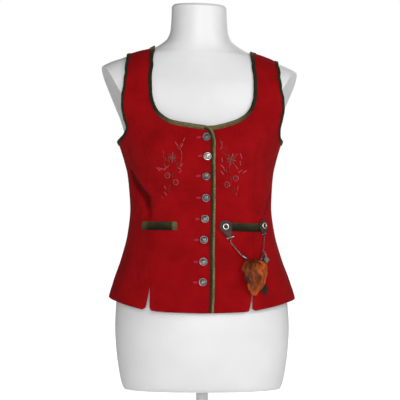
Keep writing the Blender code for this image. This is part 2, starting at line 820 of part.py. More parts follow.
def front_outline(side):
    """The inner and outer edges of one front, row by row."""
    run, corner = front_edge(side)
    neck = [corner[-1]] + neck_front(side)[(2 if side < 0 else 0):]
    if side > 0:
        corner_rows = run_of(corner, CORNER_ROWS)
        edge_rows = run_of(run, EDGE_ROWS)
    else:
        dense = through(run + corner[1:], 400)
        cut = split_at(dense, run[-1])
        edge_rows = dense[np.round(np.linspace(0, cut, EDGE_ROWS + 1)).astype(int)[:-1]]
        corner_rows = dense[np.round(np.linspace(cut, 399, CORNER_ROWS + 1)).astype(int)[:-1]]
    strap_from = STRAP_FROM - 1 if side < 0 else STRAP_FROM + 1
    inner = np.vstack((edge_rows, corner_rows, neck_and_strap(neck, strap_from, NECK_ROWS)))
    seam = seam_line(side, SEAM_FRONT, False, -SLIT_WIDTH[side], 400)
    return inner, arm_and_seam(side, seam, ARM_FRONT, False)


def back_outline(side):
    """The inner and outer edges of one back, row by row."""
    neck = opening_edge(side, NECK_BACK, NECK_TOP_HALF, True)
    neck[0] = (side * 2.0, NECK_BACK["z"][0])
    foot = hem_at(2.0, 0.0)
    edge = [(side * 2.0, z) for z in np.linspace(foot, NECK_BACK["z"][0], 5)]
    inner = np.vstack((run_of(edge, EDGE_ROWS + CORNER_ROWS), neck_and_strap(neck, 4, NECK_ROWS)))
    return inner, arm_and_seam(side, seam_line(side, SEAM_BACK, True, 0.0, 400), ARM_BACK, True)


def make_front(side, name, material):
    """One front with its strap: from the front edge and neck to the side-front seam and armhole."""
    inner, outer = front_outline(side)
    outer[:SEAM_ROWS + 1] = inset(outer[:SEAM_ROWS + 1], -side, 0.5 * SEAM_GAP)
    return main_panel(name, inner, outer, -side, FRONT_COLUMNS, material, side)


def main_panel(name, inner, outer, towards, columns, material, side=0):
    """A panel with a strap, closed by the hem below and the shoulder seam above."""
    bottom = hem_row(inner[0], outer[0], columns + 1)
    top = inset(np.linspace(inner[-1], outer[-1], columns + 1), towards, 0.5 * SEAM_GAP)
    inner[-1], outer[-1] = top[0], top[-1]
    return wall(name, patch(inner, outer, bottom, top), material, side)


def hem_row(start, end, count):
    """Places along the hem between two places."""
    row = np.linspace(start, end, count)
    base = smooth(HEM["turn"], HEM["z"], np.abs(row[:, 0]))
    shift = np.linspace(start[1] - base[0], end[1] - base[-1], count)
    row[:, 1] = base + shift
    return row


def arm_foot(side, rows, back, seam_top):
    """Places along the foot of the armhole, from a seam's top to the side seam."""
    arm = [(side * 1.0, UNDERARM_Z)] + opening_edge(side, rows, ARM_TOP_HALF, back)
    arm = through(arm, 600)
    arm = arm[:split_at(arm, seam_top) + 1][::-1]
    return arm[np.round(np.linspace(0, len(arm) - 1, SIDE_COLUMNS + 1)).astype(int)]


def make_side_front(side, name, material):
    """One side front: from the side-front seam to the side seam, under the armhole."""
    seam = seam_line(side, SEAM_FRONT, False, SLIT_WIDTH[side], 400)
    arm = arm_foot(side, ARM_FRONT, False, seam[-1])
    return make_side(side, name, material, seam, arm, -side)


def make_side_back(side, name, material):
    """One side back: from the side-back seam to the side seam, under the armhole."""
    seam = seam_line(side, SEAM_BACK, True, 0.0, 400)
    arm = arm_foot(side, ARM_BACK, True, seam[-1])
    return make_side(side, name, material, seam, arm, side)


def make_side(side, name, material, seam, arm, towards):
    """A side panel between its seam, the side seam, the hem and the foot of the armhole."""
    rows = SEAM_ROWS + 1
    seam = seam[np.round(np.linspace(0, len(seam) - 1, rows)).astype(int)]
    foot_x = float(skin(np.array(side * 1.0), np.array(300.0))[0])
    foot = hem_at(1.0, foot_x)
    edge = np.column_stack((np.full(rows, side * 1.0), np.linspace(foot, UNDERARM_Z, rows)))
    seam = inset(seam, -towards, 0.5 * SEAM_GAP)
    edge = inset(edge, towards, 0.5 * SEAM_GAP)
    top = arm.copy()
    top[0], top[-1] = seam[-1], edge[-1]
    bottom = hem_row(seam[0], edge[0], SIDE_COLUMNS + 1)
    return wall(name, patch(seam, edge, bottom, top), material)


def make_back(side, name, material):
    """One back: from the centre-back seam and neck to the side-back seam and armhole."""
    inner, outer = back_outline(side)
    outer[:SEAM_ROWS + 1] = inset(outer[:SEAM_ROWS + 1], side, 0.5 * SEAM_GAP)
    centre = EDGE_ROWS + CORNER_ROWS + 1
    inner[:centre] = inset(inner[:centre], -side, 0.5 * SEAM_GAP)
    return main_panel(name, inner, outer, side, BACK_COLUMNS, material)


def make_bindings(velvet):
    """Velvet bindings of the neck, both armholes and the front edge, on the panels' own rows."""
    first = EDGE_ROWS + CORNER_ROWS
    halves = {}
    for side in (-1, 1):
        front_inner, front_outer = front_outline(side)
        back_inner, back_outer = back_outline(side)
        halves[side] = np.vstack((front_inner[first:], back_inner[first:-1][::-1]))
        front_foot = arm_foot(side, ARM_FRONT, False, front_outer[SEAM_ROWS])
        back_foot = arm_foot(side, ARM_BACK, True, back_outer[SEAM_ROWS])
        loop = np.vstack((front_outer[SEAM_ROWS + 1:][::-1], front_foot, back_foot[::-1][1:],
                          back_outer[SEAM_ROWS + 1:-1]))
        name = "binding_armhole_" + ("right" if side < 0 else "left")
        section = binding_section(ARM_BAND, "armhole")
        band(name, loop, section, velvet, -side, closed=True, upright=ARM_NARROWER)
    neck = np.vstack((halves[-1], halves[1][::-1][1:]))
    sides = np.array([-1] * len(halves[-1]) + [1] * (len(halves[1]) - 1))
    edge = front_outline(-1)[0][:first + 2]
    steered = np.vstack((edge[-3:-2], neck))
    sides = np.concatenate(([-1], sides))
    section = binding_section(NECK_BAND, "neck")
    band("binding_neck", steered, section, velvet, 1, sides=sides, skip=(1, 0), upright=NECK_NARROWER)
    section = binding_section(FRONT_BAND, "front edge")
    band("binding_front_edge", edge, section, velvet, 1, sides=-1, skip=(0, 1))


def make_welts(velvet):
    """Two velvet pocket welts, laid on the fronts across the side-front seams."""
    half = 0.5 * WELT_WIDTH
    section = ((half, WELT_SEAT), (half, 1.7), (half - 1.2, 2.2), (1.2 - half, 2.2), (-half, 1.7),
               (-half, WELT_SEAT))
    for i, name in enumerate(("welt_right", "welt_left")):
        x = np.linspace(WELTS["x_from"][i], WELTS["x_to"][i], 9)
        z = np.linspace(WELTS["z_from"][i], WELTS["z_to"][i], 9)
        places = np.column_stack((turn_of(x - lean_at(z), z), z))
        band(name, places, section, velvet, 1, sides=2 * i - 1)


def make_buttons(pewter):
    """Eight domed shank buttons down the overlapping front."""
    for i, (x, z) in enumerate(zip(BUTTONS["x"], BUTTONS["z"])):
        turn, z = (np.array(value) for value in place_at(x, z))
        centre = cloth(turn, z, 0.0, lap_step(-1, turn, z))
        turned("button_%d" % (i + 1), BUTTON_PROFILE, centre, frame_at(turn, z)[3], pewter, 10)


def on_front(x, z, height):
    """A point in mm at a height over the front, at its own x and height."""
    turn, z = (np.array(value) for value in place_at(x, z))
    return cloth(turn, z, height, lap_step(1, turn, z))


def on_tab(i, u, v, height):
    """A point over the front, u to the left and v up from the middle of a tab."""
    turn, level = place_at(TABS["x"][i], TABS["z"][i])
    _, along, up, _ = frame_at(np.array(turn), np.array(level))
    at = (np.array(turn + u / np.linalg.norm(along)), np.array(level + v / np.linalg.norm(up)))
    return cloth(*at, height, lap_step(1, *at))


def eye_and_pivot(i):
    """The middle of the eye that touches a tab's tip, and of the chain's end that hangs in it."""
    _, _, _, tip_x, tip_z, tip_radius = (TABS[key][i] for key in TABS)
    eye = on_tab(i, tip_x, tip_z - tip_radius - SEAT - EYE_RADIUS, EYE_HEIGHT)
    return eye, eye - np.array((0.0, 0.0, EYE_RADIUS + LINK_RADIUS + SEAT))


def make_tab(i, name, leather):
    """A drop-shaped leather tab: the outline round two circles, with its face on the welt."""
    _, _, radius, tip_x, tip_z, tip_radius = (TABS[key][i] for key in TABS)
    reach = math.hypot(tip_x, tip_z)
    facing = math.atan2(tip_z, tip_x)
    open_by = math.acos((radius - tip_radius) / reach)
    angles = [facing + a for a in np.linspace(open_by, 2 * math.pi - open_by, 13)]
    outline = [(radius * math.cos(a), radius * math.sin(a)) for a in angles]
    angles = [facing + a for a in np.linspace(-open_by, open_by, 6)]
    outline += [(tip_x + tip_radius * math.cos(a), tip_z + tip_radius * math.sin(a)) for a in angles]
    points = []
    for share, height in ((0.0, TAB_LOW), (1.0, TAB_LOW), (1.0, TAB_HIGH - 0.5), (0.93, TAB_HIGH),
                          (0.0, TAB_HIGH)):
        for u, v in (outline if share else [(0.4 * tip_x, 0.4 * tip_z)]):
            points.append(on_tab(i, u * (share or 1.0), v * (share or 1.0), height))
    return closed_stack(name, points, len(outline), leather)


def closed_stack(name, points, sides, material):
    """A body of rings of points between a first and a last single point."""
    rings = (len(points) - 2) // sides
    last = 1 + (rings - 1) * sides
    faces = []
    for k in range(sides):
        j = (k + 1) % sides
        faces.append((0, 1 + k, 1 + j))
        for r in range(rings - 1):
            a, b = 1 + r * sides + k, 1 + r * sides + j
            faces += [(a, b + sides, b), (a, a + sides, b + sides)]
        faces.append((last + k, len(points) - 1, last + j))
    return collection_object(name, points, faces, material)


def make_tuft(name, rows, locks, material):
    """A flat tuft that hangs on the cloth, its locks standing as ridges along it."""
    sides = 16
    points = []
    for i, z in enumerate(rows["z"]):
        middle = 0.5 * (rows["x_from"][i] + rows["x_to"][i])
        half = 0.5 * (rows["x_to"][i] - rows["x_from"][i])
        for k in range(sides):
            angle = 2 * math.pi * k / sides
            swell = 1.0 + locks * math.cos(4 * angle + 0.5 * i)
            x = middle + half * math.cos(angle)
            height = rows["low"][i] + 0.5 * rows["thick"][i] * (1.0 + swell * math.sin(angle))
            points.append(on_front(x, z, max(height, rows["low"][i])))
    return collection_object(name, points, tube_faces(len(rows["z"]), sides, False), material)


def make_chain(i, name, material):
    """A fine chain, as one tube that swells at each link, with a round end on its pivot."""
    start = eye_and_pivot(i)[1]
    end = on_front(*(CHAIN_ENDS[key][i] for key in CHAIN_ENDS))
    way = (end - start) / np.linalg.norm(end - start)
    cap = [start - way * LINK_RADIUS * s for s in (0.95, 0.7, 0.0)]
    run = [start + (end - start) * s for s in np.append(np.linspace(0.08, 0.96, 11), 1.0)]
    radii = [0.4, 1.0, LINK_RADIUS] + [1.35 if k % 2 else 0.95 for k in range(11)] + [0.35]
    return swept(name, cap + run, radii, 6, material)


def make_charms(leather, metal, fur, dark_fur):
    """Everything that hangs on the wearer's left pocket."""
    for i, tag in enumerate(("inner", "outer")):
        make_tab(i, "tab_" + tag, leather)
        turn, z = place_at(TABS["x"][i], TABS["z"][i])
        normal = frame_at(np.array(turn), np.array(z))[3]
        turned("stud_" + tag, STUD_PROFILE, on_tab(i, 0.0, 0.0, 0.0), normal, metal, 12)
        eye = eye_and_pivot(i)[0]
        ball = [(math.sin(a) * EYE_RADIUS, -math.cos(a) * EYE_RADIUS)
                for a in np.linspace(0.0, math.pi, 7)]
        turned("eye_" + tag, ball, eye, np.array((0.0, -1.0, 0.0)), metal, 8)
        make_chain(i, "chain_" + tag, metal)
        start = on_front(*(CHAIN_ENDS[key][i] for key in CHAIN_ENDS))
        end = on_front(*(CLASP_ENDS[key][i] for key in CLASP_ENDS))
        start = start + (end - start) * (SEAT + 0.05) / np.linalg.norm(end - start)
        way = [start + (end - start) * s for s in (0.0, 0.15, 0.5, 0.85, 1.0)]
        swept("clasp_" + tag, way, (0.35, 1.5, 2.0, 1.6, 0.8), 8, metal)
    make_tuft("fur_tuft", TUFT, 0.22, fur)
    make_tuft("dark_tuft", DARK_TUFT, 0.15, dark_fur)
    make_pendant(metal)


def make_pendant(metal):
    """A small lozenge with a raised middle, hung from its own ring."""
    x, z = PENDANT["x"], PENDANT["z"]
    centre = on_front(x, z, PENDANT["low"])
    turn, level = place_at(x, z)
    normal = frame_at(np.array(turn), np.array(level))[3]
    side = np.cross(normal, (0.0, 0.0, 1.0))
    side /= np.linalg.norm(side)
    rise = np.cross(side, normal)
    outline = [(0, 1), (0.5, 0.5), (1, 0), (0.5, -0.5), (0, -1), (-0.5, -0.5), (-1, 0), (-0.5, 0.5)]
    points = [centre]
    for share, height in ((1.0, 0.0), (1.0, 0.7), (0.72, 1.0), (0.66, 0.7), (0.4, 1.0)):
        for u, v in outline:
            points.append(centre + normal * height * PENDANT["thick"]
                          + side * u * share * PENDANT["half_width"]
                          + rise * v * share * PENDANT["half_height"])
    points.append(centre + normal * PENDANT["thick"])
    closed_stack("pendant", points, len(outline), metal)
    foot = centre + rise * (PENDANT["half_height"] + SEAT) + 0.5 * normal * PENDANT["thick"]
    loop = on_front(*(PENDANT_LOOP[key] for key in ("x", "z", "height")))
    way = [foot + (loop - foot) * s for s in (0.0, 0.2, 0.4, 0.7, 0.85, 1.0, 1.12, 1.2)]
    radius = PENDANT_LOOP["radius"]
    swept("pendant_ring", way, [radius * s for s in (0.3, 0.8, 0.6, 0.6, 0.9, 1, 0.7, 0.2)], 6, metal)


def make_vest():
    """Every cut and sewn piece of the vest."""
    felt = finish("red_wool_felt", (0.30, 0.004, 0.008), 0.9)
    velvet = finish("olive_velvet", (0.03, 0.035, 0.012), 0.8)
    pewter = finish("pewter", (0.35, 0.34, 0.32), 0.35, 1.0)
    for side, tag in ((-1, "right"), (1, "left")):
        make_front(side, "front_" + tag, felt)
        make_side_front(side, "side_front_" + tag, felt)
        make_side_back(side, "side_back_" + tag, felt)
        make_back(side, "back_" + tag, felt)
    make_bindings(velvet)
    make_welts(velvet)
    make_buttons(pewter)
    leather = finish("brown_leather", (0.045, 0.022, 0.013), 0.55)
    fur = finish("fox_fur", (0.40, 0.10, 0.02), 0.9)
    dark_fur = finish("dark_fur", (0.05, 0.035, 0.025), 0.9)
    make_charms(leather, pewter, fur, dark_fur)


def main():
    """Clear the scene and build the vest, the form and the stand."""
    for old in list(bpy.data.objects):
        bpy.data.objects.remove(old, do_unlink=True)
    make_vest()
    shell = finish("white_form_shell", (0.80, 0.80, 0.81), 0.35)
    pale = finish("white_painted_steel", (0.85, 0.85, 0.85), 0.4)
    dark = finish("black_plastic", (0.02, 0.02, 0.02), 0.5)
    make_dress_form(shell)
    make_stand(pale, dark)


main()
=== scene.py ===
"""The visual model of a red folk-dress vest on a limbless dress form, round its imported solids.

The geometry follows the solids' own sizes, in millimetres, with finer rows, softer edges, creases,
stitches, chain links and hair. Front is -Y and up is +Z. A place on the figure is a pair (turn, z):
turn is 0 at the centre front, 1 at the wearer's left side (+X), 2 at the centre back, and negative
on the wearer's right side.
"""
import math

import bmesh
import bpy
import numpy as np
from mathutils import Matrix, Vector

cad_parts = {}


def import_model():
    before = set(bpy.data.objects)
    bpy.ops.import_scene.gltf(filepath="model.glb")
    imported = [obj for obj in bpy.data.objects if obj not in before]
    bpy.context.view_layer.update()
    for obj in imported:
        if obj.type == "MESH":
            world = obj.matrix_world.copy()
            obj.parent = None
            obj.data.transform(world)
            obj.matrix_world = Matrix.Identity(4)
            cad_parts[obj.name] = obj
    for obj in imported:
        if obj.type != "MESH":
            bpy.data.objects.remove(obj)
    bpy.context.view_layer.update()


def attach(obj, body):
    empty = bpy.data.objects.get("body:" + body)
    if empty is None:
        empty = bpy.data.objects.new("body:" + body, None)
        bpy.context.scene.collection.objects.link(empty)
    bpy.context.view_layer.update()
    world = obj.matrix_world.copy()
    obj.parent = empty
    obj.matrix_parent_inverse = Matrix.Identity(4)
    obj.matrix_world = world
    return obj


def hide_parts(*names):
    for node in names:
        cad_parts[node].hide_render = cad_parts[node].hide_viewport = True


MM = 0.001
SIDES = ((-1, "right"), (1, "left"))
UP = np.array((0.0, 0.0, 1.0))

# The figure leans, so its middle line at the hip lies this far from the middle of its width
CENTRE_X = 2.45

# Cloth and seams
WALL = 1.6
SEAM_GAP = 0.06
SEAT = 0.3
BAND_SEAT = {"neck": 0.5, "armhole": 0.65, "front edge": 0.85}
SLIT_TOP = 332.0
SLIT_WIDTH = {-1: 8.0, 1: 4.5}
SLIT_SWAY = {-1: -7.5, 1: -2.8}

# The closure: the wearer's right front lies on the left one
OVERLAP_RAISE = 0.9
UNDERLAP_DROP = 2.7
OVERLAP_RISES = (-60.0, -14.0)
UNDERLAP_LEVELS = (30.0, 92.0)
UNDERLAP_EDGE = -12.0
EDGE_X = 28.0
EDGE_X_HEM = 24.5
CORNER_Z = 612.0

# How far the neck and armholes sit towards the wearer's left, and how the figure leans
OPENING_SHIFT = 6.5
LEAN_AT_HIP = 3.0
LEAN_AT_SHOULDER = -2.5
HIP_Z = 240.0
SHOULDER_Z = 755.0
SHOULDER_DROP = 0.033
DROP_FROM_Z = 600.0
HEM_TILT = 0.011

BUST_HEIGHT = 592.0
BUST_SPREAD = 84.0
BUST_CUP = (46.0, 52.0)
BUST_FULLNESS = 9.0
QUARTER_GIRTH = 190.0

NECK_BAND = 8.5
ARM_BAND = 6.2
NECK_NARROWER = 0.32
ARM_NARROWER = 0.28
FRONT_BAND = 7.8

# Stand
FORM_FOOT_Z = 120.0
BASE_RADIUS = 145.0
BASE_THICKNESS = 12.0
POLE_RADIUS = 12.0
FERRULE_RADIUS = 14.5
FERRULE_HEIGHT = 9.0


def table(columns, rows):
    """Named columns of a table written as rows."""
    return {name: np.array([row[i] for row in rows], float) for i, name in enumerate(columns)}


def row_of(rows, i):
    """One row of a table, in the order of its columns."""
    return [column[i] for column in rows.values()]


BODY = table(("z", "half_width", "front", "back", "squareness"), (
    (120, 156, 98, 97, 2.4),
    (127, 159.5, 103, 102, 2.4),
    (150, 165, 108, 108, 2.4),
    (199, 171.5, 112, 113, 2.35),
    (240, 173.5, 112, 114, 2.35),
    (290, 171, 109, 111, 2.3),
    (331, 165, 105, 105, 2.3),
    (379, 152, 100, 94, 2.25),
    (427, 141, 95, 84, 2.2),
    (481, 134, 91, 78, 2.2),
    (523, 136, 96, 81, 2.2),
    (559, 140, 107, 87, 2.2),
    (595, 148, 116, 92, 2.2),
    (631, 163, 109, 96, 2.2),
    (655, 186, 101, 98, 2.2),
    (679, 208, 94, 99, 2.2),
    (703, 221, 88, 98, 2.2),
    (727, 222, 81, 93, 2.2),
    (742, 212, 75, 88, 2.2),
    (755, 195, 70, 82, 2.15),
    (764.5, 177, 66.5, 78, 2.1),
    (773, 154, 63.5, 73, 2.1),
    (780, 138, 61, 70, 2.05),
    (787, 117, 59, 67, 2.05),
    (791, 101, 58, 65, 2.0),
    (797, 87.5, 57, 62, 2.0),
    (804.5, 75.5, 56, 60, 2.0),
    (816, 63, 55.5, 58, 2.0),
    (832, 57.5, 55, 56, 2.0),
    (855, 55.5, 54, 55, 2.0),
    (879, 54.8, 53.2, 54.2, 2.0),
    (883, 51.5, 50, 51, 2.0),
))

# Where the flat arm plates cut the form: x at y = 0, over height
PLATE = table(("z", "x"), (
    (605, 146),
    (631, 146),
    (655, 150),
    (679, 159),
    (703, 169),
    (727, 180.5),
    (739, 186),
    (755, 194),
))
PLATE_TURN = 0.2
PLATE_TOP_Z = 756.0
PLATE_FOOT_Z = 612.0
PLATE_FROM_TURN = 0.86

# How far the vest's outer face stands off the form, and how far it is lifted on the shoulders
EASE = table(("z", "side", "front", "back", "lift"), (
    (270, 18.5, 13.5, 10.5, 0),
    (307, 15.5, 11.5, 9, 0),
    (331, 12, 10, 8, 0),
    (379, 8, 8.5, 7, 0),
    (427, 6, 8, 7, 0),
    (481, 7, 8, 7, 0),
    (547, 7.5, 8.5, 6.5, 0),
    (571, 9.5, 8.5, 6, 0),
    (609, 11, 8, 5.5, 0),
    (655, 9, 7, 4.5, 0.3),
    (700, 5, 4.5, 3.5, 0.8),
    (750, 3, 2.8, 2.8, 1.3),
    (790, 2.4, 2.4, 2.4, 1.9),
    (812, 2.2, 2.2, 2.2, 1.9),
))

# Soft folds in the wall: from one place to another, half width in mm, height along the normal
FOLDS = table(("turn_a", "z_a", "turn_b", "z_b", "spread", "height"), (
    (-0.74, 545, -0.51, 500, 9, -2.6),
    (-0.51, 500, -0.47, 468, 6, -2.2),
    (-0.60, 496, -0.57, 474, 8, 1.6),
    (-0.26, 540, -0.14, 484, 12, -1.3),
    (0.84, 508, 0.71, 470, 7, -2.2),
    (0.62, 575, 0.72, 520, 13, 1.6),
    (-0.50, 412, -0.47, 350, 9, -1.3),
    (0.30, 420, 0.38, 350, 14, -1.2),
    (1.25, 560, 1.62, 512, 12, -1.8),
    (-1.22, 548, -1.60, 500, 12, -1.8),
    (1.35, 470, 1.80, 455, 10, -1.6),
    (-1.40, 462, -1.78, 470, 10, -1.4),
))

# Half widths of the openings, measured from their own middle, from below upwards
NECK_FRONT = table(("half", "z"), (
    (14, 638.6),
    (30, 640.9),
    (56, 647.8),
    (73, 655),
    (86, 665.4),
    (94, 678),
    (98.5, 692),
    (100.5, 712),
    (100.5, 738),
    (98, 762),
))
NECK_BACK = table(("half", "z"), (
    (0, 722),
    (28, 723),
    (56, 727.5),
    (78, 737),
    (90, 750),
    (95, 765),
))
NECK_TOP_HALF = 96.0
ARM_FRONT = table(("half", "z"), (
    (158, 616.5),
    (150.8, 632),
    (155.5, 655),
    (159, 680),
    (158.5, 697),
    (154.5, 718),
    (151.5, 741),
    (150, 762),
))
ARM_BACK = table(("half", "z"), (
    (160, 616.5),
    (153, 634),
    (151, 655),
    (150, 680),
    (150, 705),
    (150.5, 730),
    (150.5, 755),
))
ARM_TOP_HALF = 149.5
UNDERARM_Z = 609.0

HEM = table(("turn", "z"), (
    (0, 276),
    (0.25, 278.5),
    (0.4, 284),
    (0.55, 290),
    (0.7, 295.5),
    (1, 300.5),
    (1.5, 293),
    (2, 288),
))

# The side-front and side-back seams: x over height, up to where each meets the armhole
SEAM_FRONT = table(("z", "x"), (
    (270, 98.5),
    (332, 100),
    (430, 103),
    (500, 104.5),
    (570, 107),
    (610, 113),
    (640, 130),
    (672, 158.2),
))
SEAM_BACK = table(("z", "x"), (
    (270, 82),
    (332, 78),
    (430, 68),
    (500, 66),
    (570, 72),
    (620, 86),
    (660, 116),
    (690, 150),
))

BUTTONS = table(("x", "z"), (
    (11.5, 616),
    (13.5, 580.5),
    (11, 542),
    (10.5, 499.5),
    (8.5, 458),
    (6.5, 417.5),
    (5.5, 375),
    (4.5, 335.6),
))

WELT_WIDTH = 16.5
WELT_SEAT = 0.5
WELTS = table(("x_from", "z_from", "x_to", "z_to"), (
    (-114, 444.5, -45, 444.5),
    (47, 443.5, 119, 440),
))


# The charm chain: two leather tabs, their chains, a fur tuft, a darker tuft and a small pendant
TAB_TAGS = ("inner", "outer")
TAB_LOW = 2.6
TAB_HIGH = 4.8
TABS = table(("x", "z", "radius", "tip_x", "tip_z", "tip_radius"), (
    (48.6, 443, 12.5, 7.5, -20, 4.5),
    (121.5, 444, 11, -3.5, -15, 4),
))
EYE_HEIGHT = 3.7
EYE_RADIUS = 2.3
LINK_RADIUS = 1.45
CHAIN_ENDS = table(("x", "z", "height"), (
    (78.5, 387.0, 4.6),
    (118.8, 389.5, 6.6),
))
CLASP_ENDS = table(("x", "z", "height"), (
    (88.8, 379.7, 6.7),
    (112.6, 376.0, 10.0),
))
TUFT = table(("z", "x_from", "x_to", "low", "thick"), (
    (378.6, 88, 110, 3.6, 6),
    (374, 85, 115, 4.4, 9),
    (366, 80.5, 118, 5.0, 11),
    (357, 79.5, 118.5, 5.2, 12),
    (349, 83, 119, 5.2, 12),
    (340.5, 85.5, 119, 5.2, 11),
    (331, 88.5, 117, 5.2, 10),
    (324, 91, 115, 5.2, 8.5),
    (317.5, 92.5, 111, 5.2, 6),
    (313.5, 97, 106, 5.2, 3.5),
))
DARK_TUFT = table(("z", "x_from", "x_to", "low", "thick"), (
    (368, 102, 116, 0.7, 3.2),
    (360, 94, 121, 0.5, 4.4),
    (348, 89, 124, 0.5, 4.6),
    (334, 90, 126.5, 0.5, 4.6),
    (322, 94, 129, 0.5, 4.4),
    (315, 98, 129.5, 0.7, 3.0),
))
PENDANT = {"x": 125.0, "z": 376.5, "half_width": 7.6, "half_height": 8.8, "low": 6.4, "thick": 2.2}
PENDANT_LOOP = {"x": 121.4, "z": 392.0, "height": 6.9}


def smooth(xs, ys, x):
    """The smooth curve through a table's rows at x, which never overshoots between two rows."""
    steps = np.diff(xs)
    slopes = np.diff(ys) / steps
    products = slopes[:-1] * slopes[1:]
    sums = np.where(products > 0, slopes[:-1] + slopes[1:], 1.0)
    inner = np.where(products > 0, 2.0 * products / sums, 0.0)
    tangents = np.concatenate(([slopes[0]], inner, [slopes[-1]]))
    x = np.clip(x, xs[0], xs[-1])
    i = np.clip(np.searchsorted(xs, x, side="right") - 1, 0, len(xs) - 2)
    t = (x - xs[i]) / steps[i]
    rise = steps[i] * ((t ** 3 - 2 * t ** 2 + t) * tangents[i] + (t ** 3 - t ** 2) * tangents[i + 1])
    return ys[i] * (2 * t ** 3 - 3 * t ** 2 + 1) + ys[i + 1] * (3 * t ** 2 - 2 * t ** 3) + rise


def ease_in(x, start, end):
    """0 before start, 1 after end and a soft step between them."""
    t = np.clip((x - start) / (end - start), 0.0, 1.0)
    return t * t * (3.0 - 2.0 * t)


def ring(z, dressed):
    """Half width, front and back depth and squareness of the form (0) or the vest's face (1)."""
    low = z - dressed * smooth(EASE["z"], EASE["lift"], z)
    half = smooth(BODY["z"], BODY["half_width"], low) + dressed * smooth(EASE["z"], EASE["side"], z)
    front = smooth(BODY["z"], BODY["front"], low) + dressed * smooth(EASE["z"], EASE["front"], z)
    back = smooth(BODY["z"], BODY["back"], low) + dressed * smooth(EASE["z"], EASE["back"], z)
    return half, front, back, smooth(BODY["z"], BODY["squareness"], low)


def lean_at(z):
    """How far the figure's middle lies towards the wearer's left at height z."""
    share = np.clip((z - HIP_Z) / (SHOULDER_Z - HIP_Z), 0.0, 1.0)
    return LEAN_AT_HIP + (LEAN_AT_SHOULDER - LEAN_AT_HIP) * share


def settle(x, y, z):
    """Lean the figure and drop the wearer's left shoulder, as a last step for every point."""
    x = x + lean_at(z)
    drop = SHOULDER_DROP * x * ease_in(z, DROP_FROM_Z, SHOULDER_Z)
    return np.stack(np.broadcast_arrays(x, y, z - drop), axis=-1)


def skin(turn, z, dressed=1.0):
    """Point of the form's face (dressed 0) or of the vest's outer face (dressed 1)."""
    turn = np.asarray(turn, float)
    z = np.asarray(z, float)
    half, front, back, squareness = ring(z, dressed)
    angle = 0.5 * math.pi * turn
    x = half * np.sign(np.sin(angle)) * np.abs(np.sin(angle)) ** (2.0 / squareness)
    depth = np.where(np.abs(turn) <= 1.0, -front, back)
    y = depth * np.abs(np.cos(angle)) ** (2.0 / squareness)
    wide, high = BUST_CUP
    cup = ((np.abs(x) - BUST_SPREAD) / wide) ** 2 + ((z - BUST_HEIGHT) / high) ** 2
    y = y - dressed * BUST_FULLNESS * np.exp(-cup) * (np.abs(turn) <= 1.0)
    return settle(x, y, z)


def frame_at(turn, z):
    """The vest's point, its steps per turn and per mm of height, and its outward normal."""
    d_turn, d_z = 0.003, 0.4
    along = (skin(turn + d_turn, z) - skin(turn - d_turn, z)) / (2 * d_turn)
    up = (skin(turn, z + d_z) - skin(turn, z - d_z)) / (2 * d_z)
    normal = np.cross(along, up)
    normal /= np.linalg.norm(normal, axis=-1, keepdims=True)
    return skin(turn, z), along, up, normal


def ridges(rows, turn, z):
    """Height of a table's soft folds at a place."""
    height = np.zeros(np.broadcast(turn, z).shape)
    for turn_a, z_a, turn_b, z_b, spread, rise in zip(*rows.values()):
        run_x, run_z = (turn_b - turn_a) * QUARTER_GIRTH, z_b - z_a
        off_x, off_z = (turn - turn_a) * QUARTER_GIRTH, z - z_a
        t = np.clip((off_x * run_x + off_z * run_z) / (run_x ** 2 + run_z ** 2), 0.0, 1.0)
        away = np.hypot(off_x - t * run_x, off_z - t * run_z)
        height = height + rise * np.exp(-(away / spread) ** 2)
    return height


def cloth(turn, z, height=0.0, lap=0.0):
    """Point at a height over the vest's outer face; lap is the front's own step at the closure."""
    point, _, _, normal = frame_at(turn, z)
    lift = np.asarray(height + lap + crease_height(turn, z))
    return point + normal * lift[..., None]


def lap_step(side, turn, z):
    """The right front is raised where it overlaps, and the left one lies lower under it."""
    x = skin(turn, z)[..., 0]
    front = np.abs(turn) < 1.0
    if side < 0:
        return OVERLAP_RAISE * ease_in(x, *OVERLAP_RISES) * front
    return -UNDERLAP_DROP * (1.0 - ease_in(x, *UNDERLAP_LEVELS)) * front


def turn_of(x, z, back=False):
    """The turn at which the vest's face is x wide of its middle at height z."""
    half, _, _, squareness = ring(z, 1.0)
    share = np.clip(np.abs(x) / half, 0.0, 1.0)
    turn = np.arcsin(share ** (squareness / 2.0)) * 2.0 / math.pi
    return np.sign(x) * (2.0 - turn if back else turn)


def place_at(x, z):
    """The place on the front at a point's own x and height."""
    return float(turn_of(x - lean_at(z), z)), float(z)


def height_of(x, turn):
    """The height near the shoulder's crest at which the face is x wide at this turn."""
    low, high = 742.0, 812.0
    for _ in range(40):
        middle = 0.5 * (low + high)
        half, _, _, squareness = ring(middle, 1.0)
        wide = half * math.sin(0.5 * math.pi * turn) ** (2.0 / squareness)
        low, high = (middle, high) if wide > x else (low, middle)
    return 0.5 * (low + high)


def lengths_along(places):
    """How far over the vest's face each place lies from the first one, in mm."""
    steps = np.linalg.norm(np.diff(skin(places[:, 0], places[:, 1]), axis=0), axis=1)
    return np.concatenate(([0.0], np.cumsum(steps)))


def picked(places, first, last, count):
    """Some of a row of places, evenly spaced by index from the first to the last."""
    return places[np.round(np.linspace(first, last, count)).astype(int)]


